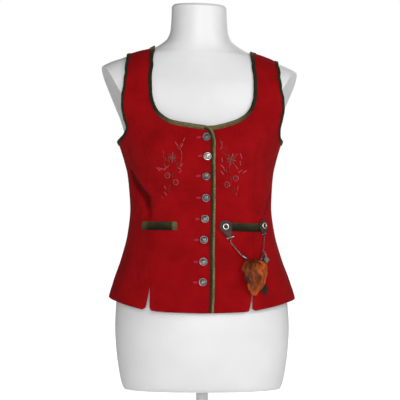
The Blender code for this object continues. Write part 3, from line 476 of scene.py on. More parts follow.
def through(points, count):
    """A smooth curve through places (turn, z), read at even steps of its length on the vest."""
    points = np.asarray(points, float)
    ends = np.vstack((2 * points[0] - points[1], points, 2 * points[-1] - points[-2]))
    dense = []
    for a, b, c, d in zip(ends[:-3], ends[1:-2], ends[2:-1], ends[3:]):
        for t in np.linspace(0.0, 1.0, 12, endpoint=False):
            bend = (2 * a - 5 * b + 4 * c - d) * t * t + (3 * b - a - 3 * c + d) * t ** 3
            dense.append(0.5 * (2 * b + (c - a) * t + bend))
    dense.append(points[-1])
    dense = np.array(dense)
    length = lengths_along(dense)
    reads = np.linspace(0.0, length[-1], count)
    return np.column_stack([np.interp(reads, length, dense[:, i]) for i in (0, 1)])


def shoulder_rise(side, half, shift, start_turn, back):
    """Places from start_turn up to the crest of the shoulder, at a constant x."""
    x = half + side * shift
    turns = np.linspace(start_turn, 1.0, 5)[1:]
    return [(side * (2.0 - t if back else t), height_of(x, t)) for t in turns]


def opening_edge(side, rows, top_half, back):
    """Places along one side of the neck or an armhole, from its lowest row up to the crest."""
    places = []
    for half, z in zip(rows["half"], rows["z"]):
        x = side * half + OPENING_SHIFT * ease_in(z, 612.0, 632.0)
        places.append((float(turn_of(x, z, back)), z))
    last = abs(places[-1][0])
    last = 2.0 - last if back else last
    return places + shoulder_rise(side, top_half, OPENING_SHIFT, last, back)


def hem_at(turn, x):
    """Height of the hem at a turn."""
    return float(smooth(HEM["turn"], HEM["z"], abs(turn))) - HEM_TILT * x


def place_on_hem(x, back=False):
    """The place on the hem that is x wide."""
    z = 285.0
    for _ in range(6):
        turn = float(turn_of(x, z, back))
        z = hem_at(turn, x)
    return turn, z


def seam_line(side, rows, back, slit, count):
    """Places up a side-front or side-back seam, from the hem to the armhole."""
    foot = place_on_hem(side * float(rows["x"][0]), back)[1]
    places = []
    for z in np.linspace(foot, rows["z"][-1], 40):
        open_by = 0.5 * slit * np.clip((SLIT_TOP - z) / (SLIT_TOP - foot), 0.0, 1.0)
        x = side * (smooth(rows["z"], rows["x"], z) + open_by)
        if slit:
            x += SLIT_SWAY[side] * np.clip((SLIT_TOP - z) / (SLIT_TOP - foot), 0.0, 1.0)
        x = x + OPENING_SHIFT * ease_in(z, 570.0, rows["z"][-1])
        places.append((float(turn_of(x, z, back)), z))
    return through(places, count)


def inset(places, inward, amount):
    """Move seam places sideways by amount in mm, inward being +1 or -1 in turn."""
    along = frame_at(places[:, 0], places[:, 1])[1]
    moved = places.copy()
    moved[:, 0] += inward * amount / np.linalg.norm(along, axis=1)
    return moved


def split_at(curve, place):
    """The index, in a row of places, of the one that lies nearest a given place."""
    away = np.hypot((curve[:, 0] - place[0]) * QUARTER_GIRTH, curve[:, 1] - place[1])
    return int(np.argmin(away))


def patch(left, right, bottom, top, u, v):
    """Fill the places between four edges; u and v are the shares across and up."""
    u = u[None, :, None]
    v = v[:, None, None]
    sides = (1 - u) * left[:, None] + u * right[:, None]
    ends = (1 - v) * bottom[None] + v * top[None]
    corners = ((1 - u) * (1 - v) * bottom[0] + u * (1 - v) * bottom[-1]
               + (1 - u) * v * top[0] + u * v * top[-1])
    return sides + ends - corners


# Rows of a front or back, from the hem up: the edge, its corner, the foot of the neck, the strap
EDGE_ROWS = 70
CORNER_ROWS = 14
NECK_ROWS = 30
STRAP_ROWS = 44
SEAM_ROWS = EDGE_ROWS + CORNER_ROWS + NECK_ROWS
# Columns across each kind of panel
FRONT_COLUMNS = 40
SIDE_COLUMNS = 26
BACK_COLUMNS = 34
# The neckline's place at which the strap starts, and how many places a densely read curve has
STRAP_FROM = 5
DENSE = 1600


def front_edge(side):
    """Places up the front edge of one front: its straight run, then the run up to the neckline."""
    if side > 0:
        run = [place_on_hem(UNDERLAP_EDGE)] + [place_at(UNDERLAP_EDGE, z) for z in (400, 520, 600)]
        return run, [run[-1], place_at(UNDERLAP_EDGE, 619), place_at(UNDERLAP_EDGE, 637.9)]
    run = [place_on_hem(EDGE_X_HEM - LEAN_AT_HIP)]
    run += [place_at(x, z) for x, z in ((26.5, 355), (28, 485), (EDGE_X, CORNER_Z - 12))]
    corner = [run[-1]]
    corner += [place_at(x, z) for x, z in ((27.4, 612.5), (24.2, 625.8), (17.5, 634.8), (8, 638.1))]
    return run, corner


def run_of(places, count):
    """Evenly read places along a curve, without the last one."""
    return through(places, count + 1)[:-1]


def neck_and_strap(places, strap_from):
    """Rows along a neckline, then up the strap from its given place to the crest."""
    dense = through(places, DENSE)
    cut = split_at(dense, places[strap_from])
    neck = picked(dense, 0, cut, NECK_ROWS + 1)[:-1]
    return np.vstack((neck, picked(dense, cut, DENSE - 1, STRAP_ROWS + 1)))


def arm_and_seam(side, seam, rows, back):
    """Rows up a seam to the armhole, then up the armhole to the crest."""
    lower = picked(seam, 0, len(seam) - 1, SEAM_ROWS + 1)
    arm = through(opening_edge(side, rows, ARM_TOP_HALF, back), DENSE)
    upper = arm[split_at(arm, seam[-1]):]
    return np.vstack((lower, picked(upper, 0, len(upper) - 1, STRAP_ROWS + 1)[1:]))


def front_outline(side):
    """The inner and outer edges of one front, row by row."""
    run, corner = front_edge(side)
    neck = [corner[-1]]
    neck += opening_edge(side, NECK_FRONT, NECK_TOP_HALF, False)[(2 if side < 0 else 0):]
    if side > 0:
        corner_rows = run_of(corner, CORNER_ROWS)
        edge_rows = run_of(run, EDGE_ROWS)
    else:
        dense = through(run + corner[1:], DENSE)
        cut = split_at(dense, run[-1])
        edge_rows = picked(dense, 0, cut, EDGE_ROWS + 1)[:-1]
        corner_rows = picked(dense, cut, DENSE - 1, CORNER_ROWS + 1)[:-1]
    strap_from = STRAP_FROM - 1 if side < 0 else STRAP_FROM + 1
    inner = np.vstack((edge_rows, corner_rows, neck_and_strap(neck, strap_from)))
    seam = seam_line(side, SEAM_FRONT, False, -SLIT_WIDTH[side], DENSE)
    return inner, arm_and_seam(side, seam, ARM_FRONT, False)


def back_outline(side):
    """The inner and outer edges of one back, row by row."""
    neck = opening_edge(side, NECK_BACK, NECK_TOP_HALF, True)
    neck[0] = (side * 2.0, NECK_BACK["z"][0])
    foot = hem_at(2.0, 0.0)
    edge = [(side * 2.0, z) for z in np.linspace(foot, NECK_BACK["z"][0], 5)]
    inner = np.vstack((run_of(edge, EDGE_ROWS + CORNER_ROWS), neck_and_strap(neck, 4)))
    return inner, arm_and_seam(side, seam_line(side, SEAM_BACK, True, 0.0, DENSE), ARM_BACK, True)


def hem_row(start, end, count):
    """Places along the hem between two places."""
    row = np.linspace(start, end, count)
    base = smooth(HEM["turn"], HEM["z"], np.abs(row[:, 0]))
    shift = np.linspace(start[1] - base[0], end[1] - base[-1], count)
    row[:, 1] = base + shift
    return row


def arm_foot(side, rows, back, seam_top):
    """Places along the foot of the armhole, from a seam's top to the side seam."""
    arm = [(side * 1.0, UNDERARM_Z)] + opening_edge(side, rows, ARM_TOP_HALF, back)
    arm = through(arm, DENSE)
    arm = arm[:split_at(arm, seam_top) + 1][::-1]
    return picked(arm, 0, len(arm) - 1, SIDE_COLUMNS + 1)


def on_front(x, z, height):
    """A point in mm at a height over the front, at its own x and height."""
    turn, z = (np.array(value) for value in place_at(x, z))
    return cloth(turn, z, height, lap_step(1, turn, z))


def on_tab(i, u, v, height):
    """A point over the front, u to the left and v up from the middle of a tab."""
    turn, level = place_at(TABS["x"][i], TABS["z"][i])
    _, along, up, _ = frame_at(np.array(turn), np.array(level))
    at = (np.array(turn + u / np.linalg.norm(along)), np.array(level + v / np.linalg.norm(up)))
    return cloth(*at, height, lap_step(1, *at))


def eye_and_pivot(i):
    """The middle of the eye that touches a tab's tip, and of the chain's end that hangs in it."""
    _, _, _, tip_x, tip_z, tip_radius = row_of(TABS, i)
    eye = on_tab(i, tip_x, tip_z - tip_radius - SEAT - EYE_RADIUS, EYE_HEIGHT)
    return eye, eye - np.array((0.0, 0.0, EYE_RADIUS + LINK_RADIUS + SEAT))


def rim_of(rows, columns):
    """Grid points along the rim, once round."""
    rim = list(range(columns))
    rim += [r * columns + columns - 1 for r in range(1, rows)]
    rim += [(rows - 1) * columns + c for c in range(columns - 2, -1, -1)]
    rim += [r * columns for r in range(rows - 2, 0, -1)]
    return rim


def plate_corner(z, back):
    """The turn at which the arm plate cuts the form's face at height z."""
    low, high = 0.3, 1.0
    x_cut = float(smooth(PLATE["z"], PLATE["x"], z))
    half, front, rear, squareness = (float(v) for v in ring(z, 0.0))
    for _ in range(40):
        middle = 0.5 * (low + high)
        angle = 0.5 * math.pi * middle
        x = half * math.sin(angle) ** (2.0 / squareness)
        y = (rear if back else -front) * math.cos(angle) ** (2.0 / squareness)
        low, high = (middle, high) if x < x_cut + PLATE_TURN * y else (low, middle)
    return 0.5 * (low + high)


def form_half_ring(z, steps_front, steps_plate):
    """Points of the form's wearer's-left half at height z, from centre front to centre back."""
    cut = PLATE_FOOT_Z < z < PLATE_TOP_Z
    front_turn = plate_corner(z, False) if cut else PLATE_FROM_TURN
    back_turn = plate_corner(z, True) if cut else PLATE_FROM_TURN
    turns = np.linspace(0.0, front_turn, steps_front + 1)
    front_part = skin(turns, z, 0.0)
    back_part = skin(2.0 - turns[::-1] * back_turn / front_turn, z, 0.0)
    if cut:
        t = np.linspace(0.0, 1.0, steps_plate + 1)[1:-1, None]
        plate = front_part[-1] * (1 - t) + back_part[0] * t
    else:
        between = np.linspace(front_turn, 2.0 - back_turn, steps_plate + 1)[1:-1]
        plate = skin(between, z, 0.0)
    return np.vstack((front_part, plate, back_part))


def mirror_half(points, z):
    """The other half of a ring of the form, mirrored before the figure leans."""
    lean_x = settle(np.array(0.0), np.array(0.0), np.array(z))[0]
    mirrored = points.copy()
    drop = SHOULDER_DROP * ease_in(z, DROP_FROM_Z, SHOULDER_Z)
    mirrored[:, 0] = 2 * lean_x - points[:, 0]
    mirrored[:, 2] = points[:, 2] + drop * (points[:, 0] - mirrored[:, 0])
    return mirrored


# Softer edges than the solids have: the radius of each, and how a stitched seam pulls in
EDGE_ROUND = 0.8
SEAM_ROUND = 0.3
SEAM_DIP = 0.14
SEAM_DIP_REACH = 3.0
CORNER_ROUND = 5.0

# How dark the painted shade along an edge is, and how far in it reaches at a seam and at a free edge
EDGE_SHADE_DARKNESS = 0.3
SEAM_SHADE_REACH = 0.8
EDGE_SHADE_REACH = 1.2

# The depth at which a crease starts to get painted shade, and how much more it takes to be fully
# shaded
CREASE_SHADE_FROM = 0.7
CREASE_SHADE_RANGE = 3.4

# Smaller creases than the solids have: from one place to another, half width in mm, height
CREASES = table(("turn_a", "z_a", "turn_b", "z_b", "spread", "height"), (
    (-0.79, 560, -0.68, 520, 4.5, -1.1),
    (-0.80, 552, -0.56, 490, 13.0, -1.8),
    (-0.56, 505, -0.50, 452, 8.0, -1.4),
    (-0.76, 535, -0.53, 496, 7.0, -1.8),
    (-0.68, 558, -0.47, 512, 9.0, 1.3),
    (-0.72, 516, -0.57, 478, 9.0, 1.5),
    (-0.70, 628, -0.66, 565, 9.0, -1.5),
    (-0.60, 622, -0.57, 575, 8.0, 0.8),
    (0.70, 560, 0.74, 520, 5.0, -1.0),
    (-0.66, 528, -0.54, 508, 4.0, -1.0),
    (-0.47, 462, -0.455, 448, 3.6, -0.9),
    (-0.44, 520, -0.30, 498, 5.5, -0.8),
    (-0.68, 470, -0.50, 484, 6.0, -0.9),
    (-0.57, 405, -0.55, 362, 4.6, -0.8),
    (-0.50, 352, -0.47, 334, 3.4, -1.0),
    (-0.30, 395, -0.26, 330, 7.0, -0.6),
    (-0.72, 400, -0.66, 320, 9.0, 0.8),
    (0.16, 470, 0.34, 462, 4.2, -0.7),
    (0.20, 545, 0.42, 520, 7.5, -0.8),
    (0.46, 476, 0.60, 470, 4.0, -0.9),
    (0.66, 492, 0.52, 458, 4.4, -1.1),
    (0.52, 430, 0.56, 352, 6.5, -0.7),
    (0.76, 410, 0.70, 318, 8.0, 0.7),
    (0.36, 640, 0.55, 622, 8.0, -0.6),
    (-0.36, 645, -0.56, 620, 8.0, -0.6),
    (1.12, 470, 1.40, 486, 5.5, -1.0),
    (1.15, 430, 1.30, 350, 8.0, -0.8),
    (1.55, 430, 1.62, 330, 9.0, 0.8),
    (-1.10, 480, -1.38, 466, 5.5, -1.0),
    (-1.18, 420, -1.26, 345, 8.0, -0.9),
    (-1.62, 440, -1.66, 340, 8.5, 0.8),
    (1.70, 640, 1.50, 610, 8.0, -0.7),
    (-1.68, 650, -1.52, 612, 8.0, -0.7),
    (1.90, 500, 1.78, 470, 6.0, -0.8),
    (-1.92, 505, -1.80, 478, 6.0, -0.8),
))


def crease_height(turn, z):
    """Height of the folds and creases together at a place."""
    return ridges(FOLDS, turn, z) + ridges(CREASES, turn, z)


def linear(code):
    """The linear colour of an sRGB hex value, with full alpha."""
    parts = [int(code[i:i + 2], 16) / 255.0 for i in (1, 3, 5)]
    parts = [p / 12.92 if p <= 0.04045 else ((p + 0.055) / 1.055) ** 2.4 for p in parts]
    return (*parts, 1.0)


def add(tree, kind, settings=None, links=None):
    """Add a node: settings go to its colour ramp, inputs or properties; links feed its inputs."""
    node = tree.nodes.new(kind)
    for key, value in (settings or {}).items():
        if key == "ramp":
            for stop, (position, code) in zip(node.color_ramp.elements, value):
                stop.position = position
                stop.color = linear(code)
        elif isinstance(key, int) or key in node.inputs:
            node.inputs[key].default_value = value
        else:
            setattr(node, key, value)
    for key, socket in (links or {}).items():
        tree.links.new(socket, node.inputs[key])
    return node


def surface(name, shader, colour=None, rough=None, relief_height=None, relief_mm=0.1):
    """A Principled material. colour, rough and relief_height are makers of node sockets."""
    made = bpy.data.materials.new(name)
    made.use_nodes = True
    tree = made.node_tree
    body = tree.nodes["Principled BSDF"]
    for key, value in shader.items():
        body.inputs[key].default_value = value
    place = add(tree, "ShaderNodeTexCoord").outputs["Object"]
    if colour:
        tree.links.new(colour(tree, place), body.inputs["Base Color"])
    if rough:
        tree.links.new(rough(tree, place), body.inputs["Roughness"])
    if relief_height:
        bump = add(tree, "ShaderNodeBump", {"Strength": 1.0, "Distance": relief_mm * MM},
                   {"Height": relief_height(tree, place)})
        tree.links.new(bump.outputs["Normal"], body.inputs["Normal"])
    return made


def mottled(size_mm, low, high, detail=2.0, roughness=0.5):
    """A maker of a colour that wanders between two values in patches of one size."""
    def made(tree, place):
        settings = {"Scale": 1000.0 / size_mm, "Detail": detail, "Roughness": roughness}
        patches = add(tree, "ShaderNodeTexNoise", settings, {"Vector": place}).outputs["Fac"]
        return add(tree, "ShaderNodeValToRGB", {"ramp": ((0.3, low), (0.7, high))},
                   {"Fac": patches}).outputs["Color"]
    return made


def carried(name, low, high):
    """A maker of a colour that follows a number from 0 to 1 that the mesh carries at its points."""
    def made(tree, place):
        share = add(tree, "ShaderNodeAttribute", {"attribute_name": name}).outputs["Fac"]
        return add(tree, "ShaderNodeValToRGB", {"ramp": ((0.0, low), (1.0, high))},
                   {"Fac": share}).outputs["Color"]
    return made


# One colour laid over another, like a dye
DYED = {"data_type": "RGBA", "blend_type": "MULTIPLY", 0: 1.0}


def felt_colour(tree, place):
    """Fulled wool: broad dye mottling, fibre clumps of 2 mm, and painted shade along seams, edges and
    creases.
    """
    dye = mottled(38.0, "#8f050a", "#a00910")(tree, place)
    clumps = mottled(2.2, "#dcdcdc", "#ffffff", 3.0, 0.65)(tree, place)
    # Painted shade along seams, free edges and creases, carried by the mesh
    painted_edge_and_crease_shade = carried("painted_edge_and_crease_shade", "#ffffff", "#a39898")(tree, place)
    fibre = add(tree, "ShaderNodeMix", DYED, {6: dye, 7: clumps}).outputs[2]
    return add(tree, "ShaderNodeMix", DYED, {6: fibre, 7: painted_edge_and_crease_shade}).outputs[2]


def velvet_colour(tree, place):
    """Cotton velvet: near black, lighter khaki where the mesh carries a painted highlight, with a
    fine pile mottling.
    """
    painted_highlight = carried("painted_highlight", "#1d1b11", "#91875a")(tree, place)
    pile = mottled(3.0, "#a8a8a0", "#ffffff", 3.0)(tree, place)
    return add(tree, "ShaderNodeMix", DYED, {6: painted_highlight, 7: pile}).outputs[2]


def leather_grain(tree, place):
    """Grain pores of 0.7 mm."""
    settings = {"Scale": 1000.0 / 0.7, "feature": "DISTANCE_TO_EDGE"}
    return add(tree, "ShaderNodeTexVoronoi", settings, {"Vector": place}).outputs["Distance"]


def fur_colour(low, high):
    """Hair that goes from a darker root to a paler tip, with each strand's own tone."""
    def made(tree, place):
        shade = mottled(9.0, "#b0a8a0", "#ffffff")(tree, place)
        hair = carried("tone", low, high)(tree, place)
        return add(tree, "ShaderNodeMix", DYED, {6: hair, 7: shade}).outputs[2]
    return made


def fine(size_mm, detail=2.0):
    """A maker of relief in blobs of one size."""
    def made(tree, place):
        settings = {"Scale": 1000.0 / size_mm, "Detail": detail, "Roughness": 0.6}
        return add(tree, "ShaderNodeTexNoise", settings, {"Vector": place}).outputs["Fac"]
    return made


def rough_between(size_mm, low, high):
    """A maker of roughness that wanders between two values."""
    def made(tree, place):
        settings = {"Scale": 1000.0 / size_mm, "Detail": 2.0, "Roughness": 0.5}
        patches = add(tree, "ShaderNodeTexNoise", settings, {"Vector": place}).outputs["Fac"]
        return add(tree, "ShaderNodeMapRange", {"To Min": low, "To Max": high},
                   {"Value": patches}).outputs["Result"]
    return made


def make_materials():
    """Every finish of the figure, each named for its material and its process."""
    stuff = {}
    # Fulled wool is matte with a soft rim of loose fibre; its fibres are drawn at 1.4 mm to show
    stuff["felt"] = surface("fulled_wool_felt", {
        "Roughness": 0.95, "Specular IOR Level": 0.08, "Sheen Weight": 0.05, "Sheen Roughness": 0.6,
        "Sheen Tint": linear("#e07078")}, felt_colour, None, fine(1.4, 4.0), 0.28)
    # Woven cotton velvet is dark face on and bright where its pile is seen from the side
    stuff["velvet"] = surface("woven_cotton_velvet", {
        "Roughness": 0.85, "Specular IOR Level": 0.15, "Sheen Weight": 0.22, "Sheen Roughness": 0.35,
        "Sheen Tint": linear("#a59c68")}, velvet_colour, None, fine(1.6, 3.0), 0.3)
    # Cast pewter has a soft grey gloss, with tarnish left in what is low
    stuff["pewter"] = surface("cast_pewter", {"Metallic": 1.0}, mottled(9.0, "#625f65", "#a09c9c"),
                              rough_between(3.0, 0.28, 0.42), fine(1.5), 0.03)
    # A lighter pewter: on the second button it is a painted highlight, and the studs and pins have it
    # too
    stuff["bright"] = surface("lighter_pewter_and_painted_highlight", {"Metallic": 1.0},
                              mottled(6.0, "#bdb9b8", "#e4e1df"), rough_between(3.0, 0.22, 0.34))
    # Tarnished pewter, left in the grooves, is dull and nearly black
    stuff["tarnish"] = surface("tarnished_pewter", {"Metallic": 0.8},
                               mottled(2.0, "#26231f", "#4b4740"), rough_between(2.0, 0.5, 0.7))
    # Vegetable-tanned calf is satin and brown, worn a little lighter in patches, with fine pores
    stuff["leather"] = surface("tanned_calf_leather", {"Specular IOR Level": 0.32},
                               mottled(7.0, "#2c1812", "#4a2c24", 3.0),
                               rough_between(4.0, 0.45, 0.65), leather_grain, 0.08)
    # Raw fur is a mass of glossy hairs, lit through at its tips
    stuff["fox"] = surface("raw_fox_fur", {
        "Sheen Weight": 0.05, "Sheen Tint": linear("#ff8a40"), "Specular IOR Level": 0.22},
                           fur_colour("#380e02", "#ee7428"), rough_between(5.0, 0.5, 0.7))
    # The darker fur behind it is duller, with brown tips
    stuff["dark_fur"] = surface("raw_dark_fur", {"Specular IOR Level": 0.2},
                                fur_colour("#150a07", "#452a20"), rough_between(5.0, 0.5, 0.7))
    # Mercerised cotton thread has a silky gloss along its twist
    for name, low, high, sheen in (("rose", "#7c1219", "#c0545a", 0.05),
                                   ("sage", "#3a2018", "#78705a", 0.05),
                                   ("crimson", "#a01426", "#cf4054", 0.0)):
        stuff[name] = surface("twisted_cotton_thread_" + name, {
            "Sheen Weight": sheen, "Roughness": 0.7, "Specular IOR Level": 0.2},
                              carried("tone", low, high), None, fine(0.9), 0.1)
    # Sprayed gelcoat on glass fibre is a satin white with a faint orange peel
    stuff["shell"] = surface("sprayed_gelcoat_shell", {"IOR": 1.5},
                             mottled(60.0, "#e2e2e3", "#e7e7e8"), rough_between(30.0, 0.36, 0.44),
                             fine(7.0), 0.04)
    # Powder-coated steel is white with a fine orange peel
    stuff["coat"] = surface("powder_coated_steel", {"IOR": 1.5},
                            mottled(20.0, "#dcdcdc", "#e4e4e4"), rough_between(15.0, 0.34, 0.45),
                            fine(1.2), 0.05)
    # Moulded black plastic is matte, with a fine spark-eroded texture
    stuff["plastic"] = surface("moulded_black_plastic", {"IOR": 1.49},
                               mottled(5.0, "#121213", "#1c1c1d"), rough_between(3.0, 0.5, 0.62),
                               fine(0.8), 0.05)
    # Fired enamel of the pendant's middle is a dull green with a clear gloss
    stuff["enamel"] = surface("fired_green_enamel", {"IOR": 1.5, "Coat Weight": 0.5},
                              mottled(2.5, "#45493a", "#8a8c70"), rough_between(2.0, 0.2, 0.35))
    return stuff


def piece(name, points, faces, materials, slots=None, tones=None, sharp=50.0):
    """Make a mesh object from points in mm; slots gives each face's material, tones its numbers."""
    mesh = bpy.data.meshes.new(name)
    placed = (np.asarray(points, float) + (CENTRE_X, 0.0, 0.0)) * MM
    mesh.from_pydata(placed.tolist(), [], faces)
    maker = bmesh.new()
    maker.from_mesh(mesh)
    bmesh.ops.recalc_face_normals(maker, faces=maker.faces)
    maker.to_mesh(mesh)
    maker.free()
    for material in (materials if isinstance(materials, (list, tuple)) else [materials]):
        mesh.materials.append(material)
    if slots is not None:
        mesh.polygons.foreach_set("material_index", np.asarray(slots, np.int32))
    for key, values in (tones or {}).items():
        layer = mesh.attributes.new(key, "FLOAT", "POINT")
        layer.data.foreach_set("value", np.asarray(values, np.float32))
    mesh.shade_smooth()
    mesh.set_sharp_from_angle(angle=math.radians(sharp))
    made = bpy.data.objects.new(name, mesh)
    bpy.context.scene.collection.objects.link(made)
    return made


def place_piece(made, body, nodes):
    """Attach a piece to what it rides on and hide the solids it replaces."""
    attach(made, body)
    if nodes:
        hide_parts(*nodes)


def crowded(count):
    """Positions of a panel's rows or columns from 0 to count, close together at both ends."""
    near = [0.0, 0.08, 0.22, 0.45]
    return np.array(near + list(range(1, count)) + [count - n for n in near[::-1]])


def read_rows(places, at):
    """Places read at fractional rows."""
    rows = np.arange(len(places))
    return np.column_stack([np.interp(at, rows, places[:, i]) for i in (0, 1)])


def edge_distances(grid):
    """Distances in mm of each grid point from the two side edges and the two ends."""
    across = np.linalg.norm(np.diff(grid, axis=1), axis=2)
    across = np.concatenate((np.zeros((len(grid), 1)), np.cumsum(across, axis=1)), axis=1)
    along = np.linalg.norm(np.diff(grid, axis=0), axis=2)
    along = np.concatenate((np.zeros((1, grid.shape[1])), np.cumsum(along, axis=0)), axis=0)
    return across, across[:, -1:] - across, along, along[-1:] - along


def rounded(away, radius):
    """How far a rounded edge drops at a distance from it."""
    share = np.clip(1.0 - away / radius, 0.0, 1.0)
    return radius * (1.0 - np.sqrt(np.clip(1.0 - share ** 2, 0.0, 1.0)))


def soft_corner(hem, edge, at_end):
    """Round the corner where a hem meets the foot of an edge, here in place."""
    row = hem[::-1] if at_end else hem
    row[:, 1] += rounded(lengths_along(row), CORNER_ROUND)
    over = (edge[:, 1] - edge[0, 1]) / (4.0 * CORNER_ROUND)
    edge[:, 1] += CORNER_ROUND * np.clip(1.0 - over, 0.0, 1.0)


def cloth_panel(name, node, left, right, bottom, top, felt, side, seams):
    """A panel as a thin felt shell: dipped seams, rounded edges and creases, with painted shade along
    its seams, edges and creases.
    """
    rows, columns = len(left) - 1, len(bottom) - 1
    row_at, column_at = crowded(rows), crowded(columns)
    places = patch(read_rows(left, row_at), read_rows(right, row_at), read_rows(bottom, column_at),
                   read_rows(top, column_at), column_at / columns, row_at / rows)
    turn, z = places[..., 0], places[..., 1]
    lap = lap_step(side, turn, z) if side else 0.0
    distances = edge_distances(skin(turn, z))
    drop = np.zeros(turn.shape)
    painted_edge_and_crease_shade = np.zeros(turn.shape)
    for away, is_seam in zip(distances, seams):
        drop = np.maximum(drop, rounded(away, SEAM_ROUND if is_seam else EDGE_ROUND))
        if is_seam:
            wander = 1.0 + 0.35 * np.sin(z / 17.0 + 3.0 * turn) * np.sin(z / 41.0 + 1.0)
            drop = drop + SEAM_DIP * wander * np.exp(-(away / SEAM_DIP_REACH) ** 2)
        # Painted shade along each seam and free edge, fading inward
        reach = SEAM_SHADE_REACH if is_seam else EDGE_SHADE_REACH
        painted_edge_and_crease_shade = np.maximum(painted_edge_and_crease_shade, EDGE_SHADE_DARKNESS * np.exp(-(away / reach) ** 2))
    # Painted shade in the deeper creases, darker the deeper the crease
    crease_shade = np.clip((-crease_height(turn, z) - CREASE_SHADE_FROM) / CREASE_SHADE_RANGE, 0.0, 1.0)
    painted_edge_and_crease_shade = np.clip(np.maximum(painted_edge_and_crease_shade, crease_shade), 0.0, 1.0)
    outer = cloth(turn, z, -drop, lap)
    inner = cloth(turn, z, -WALL, lap)
    count = turn.size
    faces = quads(*turn.shape) + quads(*turn.shape, count, True)
    rim = rim_of(*turn.shape)
    faces += [(a, a + count, b + count, b) for a, b in zip(rim, rim[1:] + rim[:1])]
    points = np.vstack((outer.reshape(-1, 3), inner.reshape(-1, 3)))
    tones = {"painted_edge_and_crease_shade": np.tile(painted_edge_and_crease_shade.ravel(), 2)}
    made = piece(name, points, faces, felt, tones=tones)
    place_piece(made, "figure", [node])


def quads(rows, columns, first=0, flip=False):
    """Four-sided faces of a grid of points."""
    faces = []
    for r in range(rows - 1):
        for c in range(columns - 1):
            a = first + r * columns + c
            face = (a, a + 1, a + columns + 1, a + columns)
            faces.append(face[::-1] if flip else face)
    return faces


# Each sheet's cut: its width and length in metres and its flat area in square metres
FLAT = {
    "front_right": (0.162, 0.545, 0.0627), "front_left": (0.147, 0.545, 0.0567),
    "back_right": (0.146, 0.535, 0.0452), "back_left": (0.148, 0.535, 0.0458),
    "side_front_right": (0.142, 0.415, 0.0371), "side_front_left": (0.155, 0.419, 0.0376),
    "side_back_right": (0.169, 0.432, 0.0468), "side_back_left": (0.169, 0.435, 0.0475),
    "armhole_right": (0.0104, 0.561, 0.0052), "armhole_left": (0.0104, 0.505, 0.00465),
    "neck": (0.0122, 0.987, 0.01114), "front edge": (0.0125, 0.375, 0.00464),
    "welt_right": (0.0185, 0.0785, 0.00141), "welt_left": (0.0185, 0.081, 0.00147),
}


def make_panels(felt):
    """The eight felt panels, from the same outlines as the solids."""
    for side, tag in SIDES:
        inner, outer = front_outline(side)
        outer[:SEAM_ROWS + 1] = inset(outer[:SEAM_ROWS + 1], -side, 0.5 * SEAM_GAP)
        main_cloth("front_" + tag, inner, outer, -side, FRONT_COLUMNS, felt, side)
        inner, outer = back_outline(side)
        outer[:SEAM_ROWS + 1] = inset(outer[:SEAM_ROWS + 1], side, 0.5 * SEAM_GAP)
        centre = EDGE_ROWS + CORNER_ROWS + 1
        inner[:centre] = inset(inner[:centre], -side, 0.5 * SEAM_GAP)
        main_cloth("back_" + tag, inner, outer, side, BACK_COLUMNS, felt, 0)
        seam = seam_line(side, SEAM_FRONT, False, SLIT_WIDTH[side], DENSE)
        arm = arm_foot(side, ARM_FRONT, False, seam[-1])
        side_cloth("side_front_" + tag, seam, arm, -side, felt, side)
        seam = seam_line(side, SEAM_BACK, True, 0.0, DENSE)
        arm = arm_foot(side, ARM_BACK, True, seam[-1])
        side_cloth("side_back_" + tag, seam, arm, side, felt, side)


def main_cloth(node, inner, outer, towards, columns, felt, side):
    """A front or a back, closed by the hem below and the shoulder seam above."""
    bottom = hem_row(inner[0], outer[0], columns + 1)
    top = inset(np.linspace(inner[-1], outer[-1], columns + 1), towards, 0.5 * SEAM_GAP)
    inner[-1], outer[-1] = top[0], top[-1]
    if side:
        soft_corner(bottom, outer, True)
    seams = (side == 0, True, False, True)
    cloth_panel(node + "_cloth", node, inner, outer, bottom, top, felt, side, seams)


def side_cloth(node, seam, arm, towards, felt, side):
    """A side panel between its seam, the side seam, the hem and the foot of the armhole."""
    rows = SEAM_ROWS + 1
    seam = picked(seam, 0, len(seam) - 1, rows)
    foot_x = float(skin(np.array(side * 1.0), np.array(300.0))[0])
    foot = hem_at(1.0, foot_x)
    edge = np.column_stack((np.full(rows, side * 1.0), np.linspace(foot, UNDERARM_Z, rows)))
    seam = inset(seam, -towards, 0.5 * SEAM_GAP)
    edge = inset(edge, towards, 0.5 * SEAM_GAP)
    arm[0], arm[-1] = seam[-1], edge[-1]
    bottom = hem_row(seam[0], edge[0], SIDE_COLUMNS + 1)
    if node.startswith("side_front"):
        soft_corner(bottom, seam, False)
    cloth_panel(node + "_cloth", node, seam, edge, bottom, arm, felt, 0, (True, True, False, False))


def sweep_points(places, section, inside, closed=False, sides=0, skip=(0, 0), upright=0.0):
    """Points of a section of (distance in from the edge, height) pairs along places, and its way."""
    turn, z = places[:, 0], places[:, 1]
    sides = np.broadcast_to(sides, turn.shape)
    point, along, up, normal = frame_at(turn, z)
    if closed:
        forward = np.roll(point, -1, axis=0) - np.roll(point, 1, axis=0)
    else:
        forward = np.gradient(point, axis=0)
    forward /= np.linalg.norm(forward, axis=1, keepdims=True)
    across = inside * np.cross(normal, forward)
    across /= np.linalg.norm(across, axis=1, keepdims=True)
    grid = np.stack((along, up), axis=2)
    step = np.einsum("nij,nj->ni", np.linalg.pinv(grid), across)
    narrow = 1.0 - upright * np.abs(forward[:, 2])
    columns = []
    for away, height in section:
        away = away * (narrow if away > 0.0 else 1.0)
        at = turn + step[:, 0] * away, z + step[:, 1] * away
        lap = np.where(sides < 0, lap_step(-1, *at), np.where(sides > 0, lap_step(1, *at), 0.0))
        columns.append(cloth(*at, height, lap))
    points = np.stack(columns, axis=1)
    kept = slice(skip[0], len(points) - skip[1])
    return points[kept], forward[kept]


